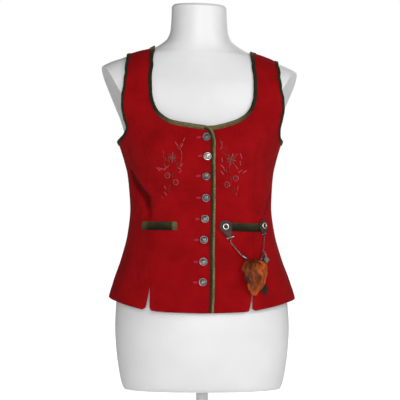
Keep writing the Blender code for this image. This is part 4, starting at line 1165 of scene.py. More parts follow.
def ring_quads(rings, sides, closed):
    """Faces of a swept section, with its ends filled unless it closes on itself."""
    faces = []
    for r in range(rings if closed else rings - 1):
        for c in range(sides):
            a, b = r * sides + c, r * sides + (c + 1) % sides
            faces.append((a, b, (b + sides) % (rings * sides), (a + sides) % (rings * sides)))
    if not closed:
        last = (rings - 1) * sides
        faces.append(tuple(range(sides)))
        faces.append(tuple(last + c for c in reversed(range(sides))))
    return faces


def velvet_band(name, node, places, section, velvet, inside, flat, rests, crest, **sweep):
    """A velvet strip, with a painted highlight where the strip runs level and along its crest.

    crest gives where the painted highlight's line lies across the strip, its half width and its
    strength, and how much lighter the painted highlight makes the strip where it runs level.
    """
    points, forward = sweep_points(places, section, inside, **sweep)
    run = np.abs(forward[:, 2])
    runs_level = np.clip(1.0 - run * 1.25, 0.0, 1.0)[:, None]
    high = np.array([h for _, h in section])[None, :]
    away = np.array([a for a, _ in section])[None, :]
    middle, half, strength, level_share = crest
    line = np.exp(-((away - middle) / half) ** 2) * (high > 0.0)
    reach = np.linspace(0.0, 1.0, len(points))[:, None]
    wander = 1.0 + 0.22 * np.sin(41.0 * reach + 0.6 * away) + 0.18 * np.sin(97.0 * reach - away)
    if level_share:
        line = line * runs_level
    # Painted highlight: lighter where the strip runs level and along the crest line, wandering a
    # little along its length
    painted_highlight = np.clip(0.05 + (level_share * runs_level + strength * line) * wander, 0.0, 1.0)
    faces = ring_quads(len(points), len(section), sweep.get("closed", False))
    made = piece(name, points.reshape(-1, 3), faces, velvet, tones={"painted_highlight": painted_highlight.ravel()})
    place_piece(made, "figure", [node])


def binding_form(width, place):
    """A soft binding: a crowned strip on the face that rolls over the edge."""
    low = BAND_SEAT[place]
    crown = low + 1.35
    return ((width, low), (width + 0.05, low + 0.45), (width - 0.4, low + 0.85),
            (width - 1.3, low + 0.95), (0.72 * width, low + 0.8), (0.5 * width, low + 0.95),
            (0.3 * width, low + 1.2), (0.12 * width, crown), (-0.6, crown - 0.25),
            (-1.2, low + 0.5), (-1.4, -0.3), (-1.3, -1.2), (-0.9, -WALL), (-SEAT, -WALL),
            (-SEAT, low), (0.5 * width, low))


def make_bindings(velvet):
    """Velvet bindings of the neck, both armholes and the front edge."""
    first = EDGE_ROWS + CORNER_ROWS
    halves = []
    for side, tag in SIDES:
        front_inner, front_outer = front_outline(side)
        back_inner, back_outer = back_outline(side)
        halves.append(np.vstack((front_inner[first:], back_inner[first:-1][::-1])))
        front_foot = arm_foot(side, ARM_FRONT, False, front_outer[SEAM_ROWS])
        back_foot = arm_foot(side, ARM_BACK, True, back_outer[SEAM_ROWS])
        loop = np.vstack((front_outer[SEAM_ROWS + 1:][::-1], front_foot, back_foot[::-1][1:],
                          back_outer[SEAM_ROWS + 1:-1]))
        rests = ["front_" + tag + "_cloth", "back_" + tag + "_cloth"]
        # The last tuple of each band sets its painted highlight
        velvet_band("armhole_binding_" + tag, "binding_armhole_" + tag, loop,
                    binding_form(ARM_BAND, "armhole"), velvet, -side, FLAT["armhole_" + tag],
                    rests, (0.0, 1.2, 0.12, 0.0), closed=True, upright=ARM_NARROWER)
    right, left = halves
    edge = front_outline(-1)[0][:first + 2]
    steered = np.vstack((edge[-3:-2], right, left[::-1][1:]))
    sides = np.array([-1] * (len(right) + 1) + [1] * (len(left) - 1))
    velvet_band("neck_binding", "binding_neck", steered, binding_form(NECK_BAND, "neck"), velvet,
                1, FLAT["neck"], ["front_right_cloth", "front_left_cloth"], (3.4, 2.2, 0.2, 0.62),
                sides=sides, skip=(1, 0), upright=NECK_NARROWER)
    velvet_band("front_edge_binding", "binding_front_edge", edge,
                binding_form(FRONT_BAND, "front edge"), velvet, 1, FLAT["front edge"],
                ["front_right_cloth"], (0.4, 2.4, 0.86, 0.0), sides=-1, skip=(0, 1))


WELT_STEPS = 60


def make_welts(velvet):
    """Two velvet pocket welts, soft edged, with a pressed line along each long side."""
    half = 0.5 * WELT_WIDTH
    section = [(half, WELT_SEAT), (half + 0.2, 1.2), (half - 0.3, 1.9), (half - 1.4, 2.15),
               (half - 2.4, 1.85), (half - 3.6, 2.1), (0.4 * half, 2.35), (0.0, 2.4)]
    section += [(-a, h) for a, h in section[-2::-1]]
    for i, tag in enumerate(("right", "left")):
        x = np.linspace(WELTS["x_from"][i], WELTS["x_to"][i], WELT_STEPS)
        z = np.linspace(WELTS["z_from"][i], WELTS["z_to"][i], WELT_STEPS)
        places = np.column_stack((turn_of(x - lean_at(z), z), z))
        points, _ = sweep_points(places, section, 1, sides=2 * i - 1)
        middle = points.mean(axis=1, keepdims=True)
        for end, share in ((0, 0.90), (1, 0.985), (-2, 0.985), (-1, 0.90)):
            points[end] = middle[end] + (points[end] - middle[end]) * share
        wander = 0.5 + 0.5 * np.sin(np.linspace(0.0, 9.0, WELT_STEPS) + i)
        # Painted highlight, growing lighter towards one long side
        painted_highlight = 0.03 + 0.06 * wander[:, None] + 0.12 * np.array([a / half for a, _ in section])
        # The right welt also gets a painted highlight at each end
        if i == 0:
            at = np.arange(WELT_STEPS)
            ends = ease_in(at, 49.0, 53.0) + 0.5 * ease_in(-at, -12.0, -4.0)
            painted_highlight = painted_highlight + 0.42 * ends[:, None]
        painted_highlight = np.clip(painted_highlight, 0.0, 1.0)
        made = piece("pocket_welt_" + tag, points.reshape(-1, 3),
                     ring_quads(WELT_STEPS, len(section), False), velvet, tones={"painted_highlight": painted_highlight.ravel()})
        place_piece(made, "figure", ["welt_" + tag])


def unit(vector):
    """A vector of length 1 along another."""
    return vector / np.linalg.norm(vector)


def angles_round(count):
    """Angles evenly spaced round a circle."""
    return 2 * math.pi * np.arange(count) / count


def stack_faces(rings, sides):
    """Faces of rings of points between a first and a last single point."""
    faces = []
    last = 1 + (rings - 1) * sides
    for k in range(sides):
        j = (k + 1) % sides
        faces.append((0, 1 + k, 1 + j))
        for r in range(rings - 1):
            a, b = 1 + r * sides + k, 1 + r * sides + j
            faces.append((a, a + sides, b + sides, b))
        faces.append((last + k, last + sides, last + j))
    return faces


def spin_profile(profile, centre, normal, sides):
    """Points, faces and each face's ring of a (radius, height) profile spun about a normal."""
    normal = unit(normal)
    level_way = unit(np.cross(normal, UP) if abs(normal[2]) < 0.9 else np.array((1.0, 0.0, 0.0)))
    rise = np.cross(level_way, normal)
    angles = angles_round(sides)
    spokes = np.cos(angles)[:, None] * level_way + np.sin(angles)[:, None] * rise
    points = [centre + normal * profile[0][1]]
    for radius, height in profile[1:-1]:
        points += list(centre + normal * height + spokes * radius)
    points.append(centre + normal * profile[-1][1])
    rings = len(profile) - 2
    return np.array(points), stack_faces(rings, sides), np.tile(np.arange(rings + 1), sides)


BUTTON_FORM = ((0.0, 0.6), (2.4, 0.6), (2.6, 0.8), (2.6, 2.0), (3.0, 2.2), (7.0, 2.2), (7.5, 2.5),
               (7.7, 3.0), (7.5, 3.5), (7.05, 3.75), (6.5, 3.6), (6.2, 3.35), (5.85, 3.35),
               (5.6, 3.75), (4.9, 4.4), (4.2, 4.95), (3.4, 5.4), (2.8, 5.55), (2.5, 5.3),
               (2.15, 5.3), (1.9, 5.7), (1.2, 6.0), (0.6, 6.1), (0.0, 6.1))
BUTTON_LOW_RINGS = (11, 12, 17, 18, 19)
BUTTON_SIDES = 72
FLUTED_RINGS = (12, 13, 14, 15)
FLUTES = 12
FLUTE_DEPTH = 0.06


def make_buttons(pewter, tarnish, bright):
    """Eight domed buttons with a rim, a groove and flutes worked into the dome."""
    sides = BUTTON_SIDES
    flute = FLUTE_DEPTH * np.cos(FLUTES * 2 * math.pi * np.arange(sides) / sides)
    for i, (x, z) in enumerate(zip(*BUTTONS.values())):
        turn, height = (np.array(value) for value in place_at(x, z))
        centre = cloth(turn, height, 0.0, lap_step(-1, turn, height))
        normal = frame_at(turn, height)[3]
        points, faces, ring_of = spin_profile(BUTTON_FORM, centre, normal, sides)
        for r in FLUTED_RINGS:
            points[1 + r * sides:1 + (r + 1) * sides] += flute[:, None] * normal
        slots = np.isin(ring_of, BUTTON_LOW_RINGS).astype(int)
        # The second button is drawn in the lighter pewter, a painted highlight
        made = piece("pewter_button_%d" % (i + 1), points, faces,
                     [bright if i == 1 else pewter, tarnish], slots)
        place_piece(made, "figure", ["button_%d" % (i + 1)])


# A direction that no thread runs along, from which the sides of each are laid out
ASKEW = np.array((0.31, -0.87, 0.38))


class Threads:
    """Many short threads, gathered into one mesh."""

    def __init__(self):
        self.points, self.faces, self.slots, self.tones = [], [], [], []
        self.count = 0

    def lay(self, path, radii, slot, tone, sides=4):
        """Add one thread along points, with a radius at each; its ends are closed."""
        path = np.asarray(path, float)
        forward = np.gradient(path, axis=0)
        forward /= np.linalg.norm(forward, axis=1, keepdims=True) + 1e-12
        level_way = np.cross(forward, ASKEW)
        level_way /= np.linalg.norm(level_way, axis=1, keepdims=True)
        rise = np.cross(level_way, forward)
        angles = angles_round(sides)
        radii = np.broadcast_to(radii, len(path))
        body = path[:, None] + radii[:, None, None] * (
            np.cos(angles)[None, :, None] * level_way[:, None]
            + np.sin(angles)[None, :, None] * rise[:, None])
        faces = [tuple(self.count + v for v in face) for face in ring_quads(len(path), sides, False)]
        self.points.append(body.reshape(-1, 3))
        self.faces += faces
        self.slots += [slot] * len(faces)
        self.tones.append(np.repeat(np.broadcast_to(tone, len(path)), sides))
        self.count += len(path) * sides

    def made(self, name, materials):
        """The mesh object of all the threads."""
        return piece(name, np.vstack(self.points), self.faces, materials, self.slots,
                     {"tone": np.concatenate(self.tones)}, 80.0)


def on_cloth(side, x, z, height):
    """Points over a front at their own x and height, as arrays."""
    x, z = np.asarray(x, float), np.asarray(z, float)
    turn = turn_of(x - lean_at(z), z)
    return cloth(turn, z, height, lap_step(side, turn, z))


SATIN_SPACING = 0.95
STEM_THREAD = 0.45


def satin(threads, side, x, z, length, angle, width, slot, tone):
    """A leaf or petal filled with slanting stitches on both sides of its middle line."""
    way = np.array((math.sin(angle), math.cos(angle)))
    out = np.array((way[1], -way[0]))
    steps = max(3, int(length / SATIN_SPACING))
    for k in range(steps):
        s = (k + 0.3) / steps
        far = min(1.0, s + 0.16)
        half = 0.34 * width * math.sin(math.pi * min(1.0, 0.08 + 0.92 * far)) ** 0.7
        for hand in (-1, 1):
            start = way * length * s
            end = way * length * far + out * hand * half
            t = np.linspace(0.0, 1.0, 4)[:, None]
            flat = start * (1 - t) + end * t
            rise = 0.25 + 0.5 * np.sin(math.pi * np.linspace(0.08, 0.92, 4))
            path = on_cloth(side, x + flat[:, 0], z + flat[:, 1], rise)
            shade = tone + 0.16 * math.sin(7.0 * k + 2.0 * hand)
            threads.lay(path, 0.36, slot, float(np.clip(shade, 0, 1)))


def stem(threads, side, xs, zs, slot, tone):
    """A line of overlapping slanting stitches along a smooth path through points."""
    dense = np.linspace(0, len(xs) - 1, 40)
    knots = np.arange(len(xs), dtype=float)
    x = smooth(knots, np.asarray(xs, float), dense) if len(xs) > 2 else np.interp(dense, knots, xs)
    z = smooth(knots, np.asarray(zs, float), dense) if len(zs) > 2 else np.interp(dense, knots, zs)
    reach = np.concatenate(([0.0], np.cumsum(np.hypot(np.diff(x), np.diff(z)))))
    count = max(2, int(reach[-1] / 2.0))
    for k in range(count):
        a, b = reach[-1] * k / count, min(reach[-1], reach[-1] * (k + 1.45) / count)
        s = np.linspace(a, b, 4)
        px, pz = np.interp(s, reach, x), np.interp(s, reach, z)
        run = np.hypot(px[-1] - px[0], pz[-1] - pz[0]) + 1e-9
        slant = np.linspace(-0.35, 0.35, 4)
        px = px + slant * (pz[-1] - pz[0]) / run
        pz = pz - slant * (px[-1] - px[0]) / run
        path = on_cloth(side, px, pz, 0.2 + 0.4 * np.sin(math.pi * np.linspace(0.1, 0.9, 4)))
        threads.lay(path, STEM_THREAD, slot, float(np.clip(tone + 0.12 * math.sin(5.0 * k), 0, 1)))


def ring_flower(threads, side, x, z, radius):
    """A round flower: an outer ring of radial stitches, a sage ring and a pale knot."""
    for inner, outer, count, slot, tone, rise in ((0.74, 1.0, 34, 0, 0.75, 0.6),
                                                  (0.32, 0.46, 16, 1, 0.0, 0.3)):
        for k in range(count):
            angle = 2 * math.pi * k / count
            r = radius * np.linspace(inner, outer, 4) * (1.0 + 0.03 * math.sin(5 * angle))
            lift = 0.25 + rise * np.sin(math.pi * np.linspace(0.1, 0.9, 4))
            path = on_cloth(side, x + r * math.cos(angle), z + r * math.sin(angle), lift)
            threads.lay(path, 0.38, slot, tone + 0.2 * math.sin(angle + 1.0))
    knot(threads, side, x, z, 0.7, 0, 0.9)


def knot(threads, side, x, z, radius, slot, tone):
    """A small wound knot."""
    angle = np.linspace(0.0, 4 * math.pi, 13)
    reach = radius * np.linspace(0.75, 0.15, 13)
    path = on_cloth(side, x + reach * np.cos(angle), z + reach * np.sin(angle),
                    0.4 + 0.7 * np.linspace(0.0, 1.0, 13))
    threads.lay(path, 0.42, slot, tone)


def star_flower(threads, side, x, z, radius, petals, turn_by):
    """A star of slim petals round a sage middle, by turns rose and sage."""
    for k in range(petals):
        angle = 2 * math.pi * k / petals + turn_by
        reach = radius * (1.0 + 0.18 * math.cos(2 * angle))
        start = 0.2 * radius
        px, pz = x + start * math.sin(angle), z + start * math.cos(angle)
        slot, tone = ((0, 0.7), (1, 0.35))[k % 2]
        satin(threads, side, px, pz, 0.8 * reach, angle, 0.2 * radius, slot, tone)
    for k in range(6):
        angle = 2 * math.pi * k / 6
        knot(threads, side, x + 1.5 * math.cos(angle), z + 1.5 * math.sin(angle), 0.7, 1, 0.5)
    knot(threads, side, x, z, 0.9, 1, 0.9)


# Sprays of the two fronts, each row with its side first. A stroke goes from one x and z
# to another, then says its width, its thread (0 rose, 1 sage) and its tone; a stem has many x and z
STROKES = (
    (-1, -34.0, 607.1, -30.0, 615.1, 1.9, 0, 0.75),
    (-1, -37.6, 596.4, -34.0, 604.2, 2.0, 0, 0.9),
    (-1, -40.3, 596.7, -37.0, 605.4, 1.7, 0, 0.5),
    (-1, -43.0, 598.0, -49.3, 608.1, 2.0, 0, 0.8),
    (-1, -40.1, 593.0, -44.3, 597.7, 1.4, 1, 0.5),
    (-1, -40.1, 559.1, -34.0, 566.3, 2.0, 0, 0.75),
    (-1, -44.6, 558.3, -37.6, 554.6, 1.9, 0, 0.8),
    (-1, -47.7, 554.6, -43.3, 559.6, 1.5, 1, 0.15),
    (-1, -41.8, 548.3, -35.6, 553.0, 1.9, 0, 0.75),
    (-1, -70.7, 583.0, -71.7, 590.4, 1.5, 0, 0.45),
    (-1, -70.0, 577.0, -73.0, 581.7, 1.5, 1, 0.5),
    (-1, -69.0, 570.7, -66.7, 577.0, 1.7, 0, 0.5),
    (-1, -68.0, 558.3, -70.0, 567.0, 1.7, 1, 0.45),
    (-1, -78.2, 551.9, -85.1, 559.0, 2.0, 0, 0.9),
    (-1, -74.7, 553.6, -80.4, 558.3, 1.9, 0, 0.75),
    (-1, -70.0, 554.6, -76.4, 556.6, 1.7, 0, 0.7),
    (-1, -71.0, 553.0, -62.4, 561.3, 2.0, 0, 0.8),
    (-1, -64.4, 558.6, -59.0, 564.1, 1.5, 1, 0.4),
    (-1, -67.4, 515.9, -70.7, 523.6, 2.0, 0, 0.8),
    (-1, -65.4, 503.5, -71.0, 511.5, 2.0, 0, 0.75),
    (-1, -60.7, 519.9, -57.7, 526.6, 1.3, 1, 0.2),
    (-1, -62.4, 509.9, -60.7, 518.5, 1.3, 1, 0.15),
    (-1, -55.5, 537.9, -54.0, 547.3, 1.3, 1, 0.2),
    (-1, -72.7, 498.2, -76.0, 501.5, 1.5, 0, 0.6),
    (1, 39.1, 592.4, 42.1, 600.2, 1.9, 0, 0.75),
    (1, 42.8, 600.2, 39.1, 606.1, 1.7, 0, 0.6),
    (1, 40.0, 605.7, 37.8, 612.4, 1.7, 0, 0.55),
    (1, 44.1, 604.7, 40.5, 609.1, 1.4, 0, 0.45),
    (1, 45.8, 595.7, 44.1, 598.5, 1.4, 1, 0.3),
    (1, 51.1, 594.4, 49.1, 597.7, 1.4, 1, 0.25),
    (1, 48.3, 589.0, 46.6, 592.0, 1.4, 1, 0.2),
    (1, 44.1, 588.0, 42.8, 590.7, 1.4, 1, 0.15),
    (1, 42.5, 567.0, 41.5, 576.3, 2.0, 0, 0.85),
    (1, 46.6, 555.6, 38.8, 563.3, 2.0, 0, 0.8),
    (1, 47.8, 550.1, 44.1, 556.3, 1.7, 0, 0.55),
    (1, 45.8, 542.9, 38.8, 551.3, 2.0, 0, 0.9),
    (1, 51.8, 547.3, 49.1, 554.0, 1.5, 1, 0.4),
    (1, 80.5, 574.3, 76.5, 586.4, 1.9, 0, 0.7),
    (1, 77.5, 562.3, 76.5, 571.3, 2.0, 0, 0.85),
    (1, 72.5, 554.0, 68.9, 561.3, 1.7, 0, 0.6),
    (1, 73.2, 549.0, 81.2, 553.0, 1.9, 0, 0.75),
    (1, 81.9, 547.6, 90.2, 553.0, 2.0, 0, 0.9),
    (1, 75.9, 546.3, 74.5, 551.3, 1.5, 1, 0.4),
    (1, 71.5, 512.2, 73.9, 523.9, 1.7, 0, 0.55),
    (1, 65.0, 513.9, 66.2, 521.6, 1.4, 1, 0.2),
    (1, 68.9, 502.5, 71.5, 510.5, 1.7, 0, 0.5),
    (1, 60.8, 506.7, 62.5, 514.2, 1.3, 1, 0.15),
    (1, 60.0, 527.6, 58.3, 542.6, 1.2, 1, 0.2),
)
STEMS = (
    (-1, (-40.1, -37.0, -36.1, -37.1, -40.1), (595.0, 588.4, 580.0, 570.8, 562.5), 0, 0.5),
    (-1, (-60.0, -62.7, -60.0), (580.0, 573.3, 567.0), 1, 0.3),
    (-1, (-49.3, -45.1, -46.3), (573.3, 566.6, 559.6), 1, 0.12),
    (1, (42.1, 47.8, 55.2), (587.7, 582.7, 576.3), 1, 0.2),
    (1, (62.5, 67.8, 72.9), (579.0, 581.7, 584.7), 0, 0.45),
    (1, (63.2, 67.2, 71.2), (567.7, 562.3, 555.0), 0, 0.4),
    (1, (56.7, 55.5, 57.5), (567.7, 557.6, 547.6), 1, 0.25),
)
RING_FLOWERS = ((-1, -64.4, 542.4, 5.6), (-1, -48.0, 529.6, 5.6), (1, 68.9, 536.8, 5.6),
                (1, 52.2, 524.7, 5.8))
STAR_FLOWERS = ((-1, -54, 577, 9.2, 8, 0.1), (1, 59.5, 573, 11.5, 8, 0.25))


def make_embroidery(rose, sage):
    """The two sprays, in satin, stem and knot stitches."""
    for side, tag in SIDES:
        threads = Threads()
        for own, x, z, to_x, to_z, width, slot, tone in STROKES:
            if own == side:
                length = math.hypot(to_x - x, to_z - z)
                satin(threads, side, x, z, length, math.atan2(to_x - x, to_z - z), width, slot, tone)
        for own, xs, zs, slot, tone in STEMS:
            if own == side:
                stem(threads, side, xs, zs, slot, tone)
        for own, x, z, radius in RING_FLOWERS:
            if own == side:
                ring_flower(threads, side, x, z, radius)
        for own, x, z, radius, petals, turn_by in STAR_FLOWERS:
            if own == side:
                star_flower(threads, side, x, z, radius, petals, turn_by)
        made = threads.made("embroidered_spray_" + tag, [rose, sage])
        place_piece(made, "figure", [])


BUTTONHOLE_FROM = 18.4
BUTTONHOLE_BARS = 10
BAR_STEP = 0.85


def make_buttonholes(crimson):
    """Worked buttonholes: a close row of bars over each slit, beside its button."""
    threads = Threads()
    for x, z in zip(*BUTTONS.values()):
        for k in range(BUTTONHOLE_BARS):
            at = x - BUTTONHOLE_FROM + BAR_STEP * k
            t = np.linspace(-1.0, 1.0, 5)
            path = on_cloth(-1, at + 0.15 * t, z + 2.0 * t, 0.15 + 0.75 * (1.0 - t * t))
            threads.lay(path, 0.42, 0, 0.3 + 0.3 * (k % 2))
    made = threads.made("buttonhole_stitches", [crimson])
    place_piece(made, "figure", [])


def frame_over(i):
    """The outward normal, level direction and rise at the middle of a tab."""
    turn, z = (np.array(value) for value in place_at(TABS["x"][i], TABS["z"][i]))
    normal = frame_at(turn, z)[3]
    level_way = unit(np.cross(UP, normal))
    return normal, level_way, np.cross(normal, level_way)


def make_tab(i, tag, leather):
    """A drop-shaped leather tab with burnished, rounded edges and a line pressed inside them."""
    _, _, radius, tip_x, tip_z, tip_radius = row_of(TABS, i)
    reach = math.hypot(tip_x, tip_z)
    facing = math.atan2(tip_z, tip_x)
    open_by = math.acos((radius - tip_radius) / reach)
    angles = facing + np.linspace(open_by, 2 * math.pi - open_by, 44)
    outline = [(radius * math.cos(a), radius * math.sin(a)) for a in angles]
    angles = facing + np.linspace(-open_by, open_by, 16)
    outline += [(tip_x + tip_radius * math.cos(a), tip_z + tip_radius * math.sin(a)) for a in angles]
    middle = (0.4 * tip_x, 0.4 * tip_z)
    rings = ((0.97, TAB_LOW), (1.0, TAB_LOW + 0.4), (1.0, TAB_HIGH - 0.6), (0.985, TAB_HIGH - 0.15),
             (0.95, TAB_HIGH), (0.90, TAB_HIGH - 0.05), (0.875, TAB_HIGH - 0.35),
             (0.85, TAB_HIGH - 0.05), (0.70, TAB_HIGH + 0.05), (0.35, TAB_HIGH + 0.1))
    points = [on_tab(i, *middle, TAB_LOW)]
    for share, height in rings:
        for u, v in outline:
            at = middle[0] + (u - middle[0]) * share, middle[1] + (v - middle[1]) * share
            points.append(on_tab(i, *at, height))
    points.append(on_tab(i, *middle, TAB_HIGH + 0.1))
    made = piece("leather_tab_" + tag, points, stack_faces(len(rings), len(outline)), leather)
    place_piece(made, "figure", ["tab_" + tag])


STUD_FORM = ((0.0, 5.3), (5.2, 5.3), (5.9, 5.4), (6.35, 5.7), (6.45, 6.15), (6.2, 6.6), (5.7, 7.0),
             (5.1, 7.2), (4.5, 7.2), (4.1, 6.95), (3.9, 6.6), (3.6, 6.45), (3.1, 6.45), (2.8, 6.6),
             (2.3, 6.8), (1.6, 6.95), (0.8, 7.0), (0.0, 7.0))
STUD_LOW_RINGS = (10, 11, 12, 13, 14, 15, 16)
# The pin across the foot of a tab: a thin bar with a ball at each end
PIN_FORM = ((0.0, -8.0), (0.8, -7.7), (1.2, -6.8), (0.8, -5.9), (0.6, -5.6), (0.6, 5.6), (0.8, 5.9),
            (1.2, 6.8), (0.8, 7.7), (0.0, 8.0))


def wire_ring(centre, axis, long_way, half_long, half_wide, wire, steps=28, sides=8):
    """Points and faces of a closed oval of wire about a centre, flat across its axis."""
    axis = unit(axis)
    long_way = unit(long_way - axis * np.dot(long_way, axis))
    wide_way = np.cross(axis, long_way)
    points = []
    for k in range(steps):
        a = 2 * math.pi * k / steps
        straight = max(0.0, half_long - half_wide)
        at = (long_way * (half_wide * math.cos(a) + straight * math.copysign(1.0, math.cos(a)))
              + wide_way * half_wide * math.sin(a))
        out = long_way * math.cos(a) + wide_way * math.sin(a)
        for m in range(sides):
            b = 2 * math.pi * m / sides
            points.append(centre + at + wire * (out * math.cos(b) + axis * math.sin(b)))
    return np.array(points), ring_quads(steps, sides, True)


def gather(parts):
    """Join points and faces of several parts."""
    points, faces, first = [], [], 0
    for own_points, own_faces in parts:
        points.append(own_points)
        faces += [tuple(first + v for v in face) for face in own_faces]
        first += len(own_points)
    return np.vstack(points), faces


CHAIN_LINKS = 13


def make_chain(i, tag, pewter):
    """A fine chain of oval links, each a quarter turn from the last."""
    start = eye_and_pivot(i)[1]
    end = on_front(*row_of(CHAIN_ENDS, i))
    way = unit(end - start)
    out = unit(np.cross(way, UP))
    other = np.cross(way, out)
    length = np.linalg.norm(end - start)
    parts = []
    for k in range(CHAIN_LINKS):
        centre = start + way * length * (k + 0.25) / CHAIN_LINKS
        turned_by = math.radians(45.0 + 90.0 * (k % 2) + 10.0 * math.sin(2.3 * k + i))
        axis = out * math.cos(turned_by) + other * math.sin(turned_by)
        parts.append(wire_ring(centre, axis, way, 0.72 * length / CHAIN_LINKS, 1.05, 0.4, 20, 6))
    points, faces = gather(parts)
    made = piece("link_chain_" + tag, points, faces, pewter)
    place_piece(made, "charm_chain", ["chain_" + tag])


# The rest of a clasp's profile: radius, and height as a share of its length
CLASP_FORM = ((1.5, 0.14), (1.9, 0.2), (1.6, 0.26), (1.8, 0.4), (2.1, 0.55), (2.2, 0.7), (2.5, 0.76),
              (2.5, 0.82), (2.1, 0.88), (1.4, 1.0), (0.0, 1.0))


def make_clasp(i, tag, pewter):
    """A small cone cap that grips the fur, with two rolled rings."""
    start = on_front(*row_of(CHAIN_ENDS, i))
    end = on_front(*row_of(CLASP_ENDS, i))
    way = unit(end - start)
    length = np.linalg.norm(end - start)
    profile = [(0.0, 0.25), (0.5, 0.3), (0.8, 0.6), (1.0, 1.0)]
    profile += [(radius, share * length) for radius, share in CLASP_FORM]
    points, faces, _ = spin_profile(profile, start, way, 28)
    made = piece("cap_clasp_" + tag, points, faces, pewter)
    place_piece(made, "charm_chain", ["clasp_" + tag])


def make_stud(i, tag, bright, tarnish):
    """The domed stud in the middle of a tab, with tarnish inside its rim."""
    points, faces, ring_of = spin_profile(STUD_FORM, on_tab(i, 0.0, 0.0, 0.0), frame_over(i)[0], 48)
    slots = np.isin(ring_of, STUD_LOW_RINGS).astype(int)
    made = piece("tab_stud_" + tag, points, faces, [bright, tarnish], slots)
    place_piece(made, "figure", ["stud_" + tag])


def make_eye(i, tag, pewter):
    """The wire eye at a tab's tip."""
    points, faces = wire_ring(eye_and_pivot(i)[0], np.cross(frame_over(i)[0], UP), UP,
                              EYE_RADIUS - 0.1, EYE_RADIUS - 0.5, 0.5)
    made = piece("tab_eye_" + tag, points, faces, pewter)
    place_piece(made, "figure", ["eye_" + tag])


def make_pin(i, tag, bright):
    """The pin across the foot of a tab, smaller on the outer one."""
    _, level_way, rise = frame_over(i)
    _, _, _, tip_x, tip_z, tip_radius = row_of(TABS, i)
    share = (1.0, 0.75)[i]
    pin = [(radius * share, height * share) for radius, height in PIN_FORM]
    centre = on_tab(i, tip_x, tip_z - 0.3 * tip_radius, TAB_HIGH + 0.3)
    points, faces, _ = spin_profile(pin, centre, level_way + 0.25 * rise, 16)
    made = piece("tab_pin_" + tag, points, faces, bright)
    place_piece(made, "figure", [])


def make_metal(pewter, tarnish, bright):
    """The metal of both tabs, and the chains and clasps that hang from them."""
    for i, tag in enumerate(TAB_TAGS):
        make_stud(i, tag, bright, tarnish)
        make_eye(i, tag, pewter)
        make_pin(i, tag, bright)
        make_chain(i, tag, pewter)
        make_clasp(i, tag, pewter)


def tuft_point(rows, z, u, w):
    """A point of a tuft: u from -1 to 1 across it and w from -1 (at the cloth) to 1 (outside)."""
    order = np.argsort(rows["z"])
    read = {key: np.interp(z, rows["z"][order], rows[key][order]) for key in rows}
    middle = 0.5 * (read["x_from"] + read["x_to"])
    half = 0.5 * (read["x_to"] - read["x_from"])
    return on_cloth(1, middle + half * u, z, read["low"] + 0.5 * read["thick"] * (1.0 + w))


FUR_CORE_RINGS = 18
FUR_CORE_SIDES = 20


def make_fur(name, node, rows, fur, seed, locks, hairs, hair, spread, loose):
    """A tuft: a core under locks of hair that sway and curl as they fall."""
    rng = np.random.default_rng(seed)
    threads = Threads()
    top, foot = rows["z"].max(), rows["z"].min()
    count, sides = FUR_CORE_RINGS, FUR_CORE_SIDES
    for r in range(count):
        z = top - (top - foot) * (0.02 + 0.90 * r / (count - 1))
        angles = angles_round(sides)
        ring = tuft_point(rows, np.full(sides, z), 0.78 * np.cos(angles),
                          np.maximum(-0.85, 0.72 * np.sin(angles)))
        threads.points.append(ring)
        threads.tones.append(np.full(sides, 0.12))
    faces = ring_quads(count, sides, False)
    threads.faces += faces
    threads.slots += [0] * len(faces)
    threads.count = count * sides
    s = np.linspace(0.0, 1.0, 6)
    for k in range(locks):
        begin = 0.78 * (k + rng.uniform(0.0, 1.0)) / locks
        root = rng.uniform(-0.95, 0.95)
        around = math.sqrt(1.0 - root * root)
        reach = rng.uniform(0.30, 0.48)
        sway = loose * rng.uniform(-0.5, 0.5)
        curl = loose * rng.uniform(-0.2, 0.2)
        wide = rng.uniform(0.06, 0.13)
        shade = rng.uniform(-0.34, 0.3) + 0.2 * root
        front = around * rng.uniform(0.6, 1.15)
        for _ in range(hairs):
            close = 1.0 - 0.8 * s ** 1.4
            off = rng.normal(0.0, wide)
            t = begin + reach * s * (1.0 + rng.normal(0.0, 0.08))
            u = root + off * close + sway * s ** 2 + curl * np.sin(4.5 * s)
            w = front + rng.normal(0.0, 0.22) * close + spread * np.sin(math.pi * s)
            z = np.clip(top - (top - foot) * t, foot - 5.0, top)
            path = tuft_point(rows, z, np.clip(u, -1.2, 1.16), np.maximum(w, -0.9))
            tone = np.clip(0.30 + shade + 0.42 * s + rng.normal(0.0, 0.09), 0.0, 1.0)
            threads.lay(path, hair * np.array((1.0, 1.0, 0.95, 0.8, 0.55, 0.12)), 0, tone, 3)
    made = threads.made(name, [fur])
    place_piece(made, "charm_chain", [node])


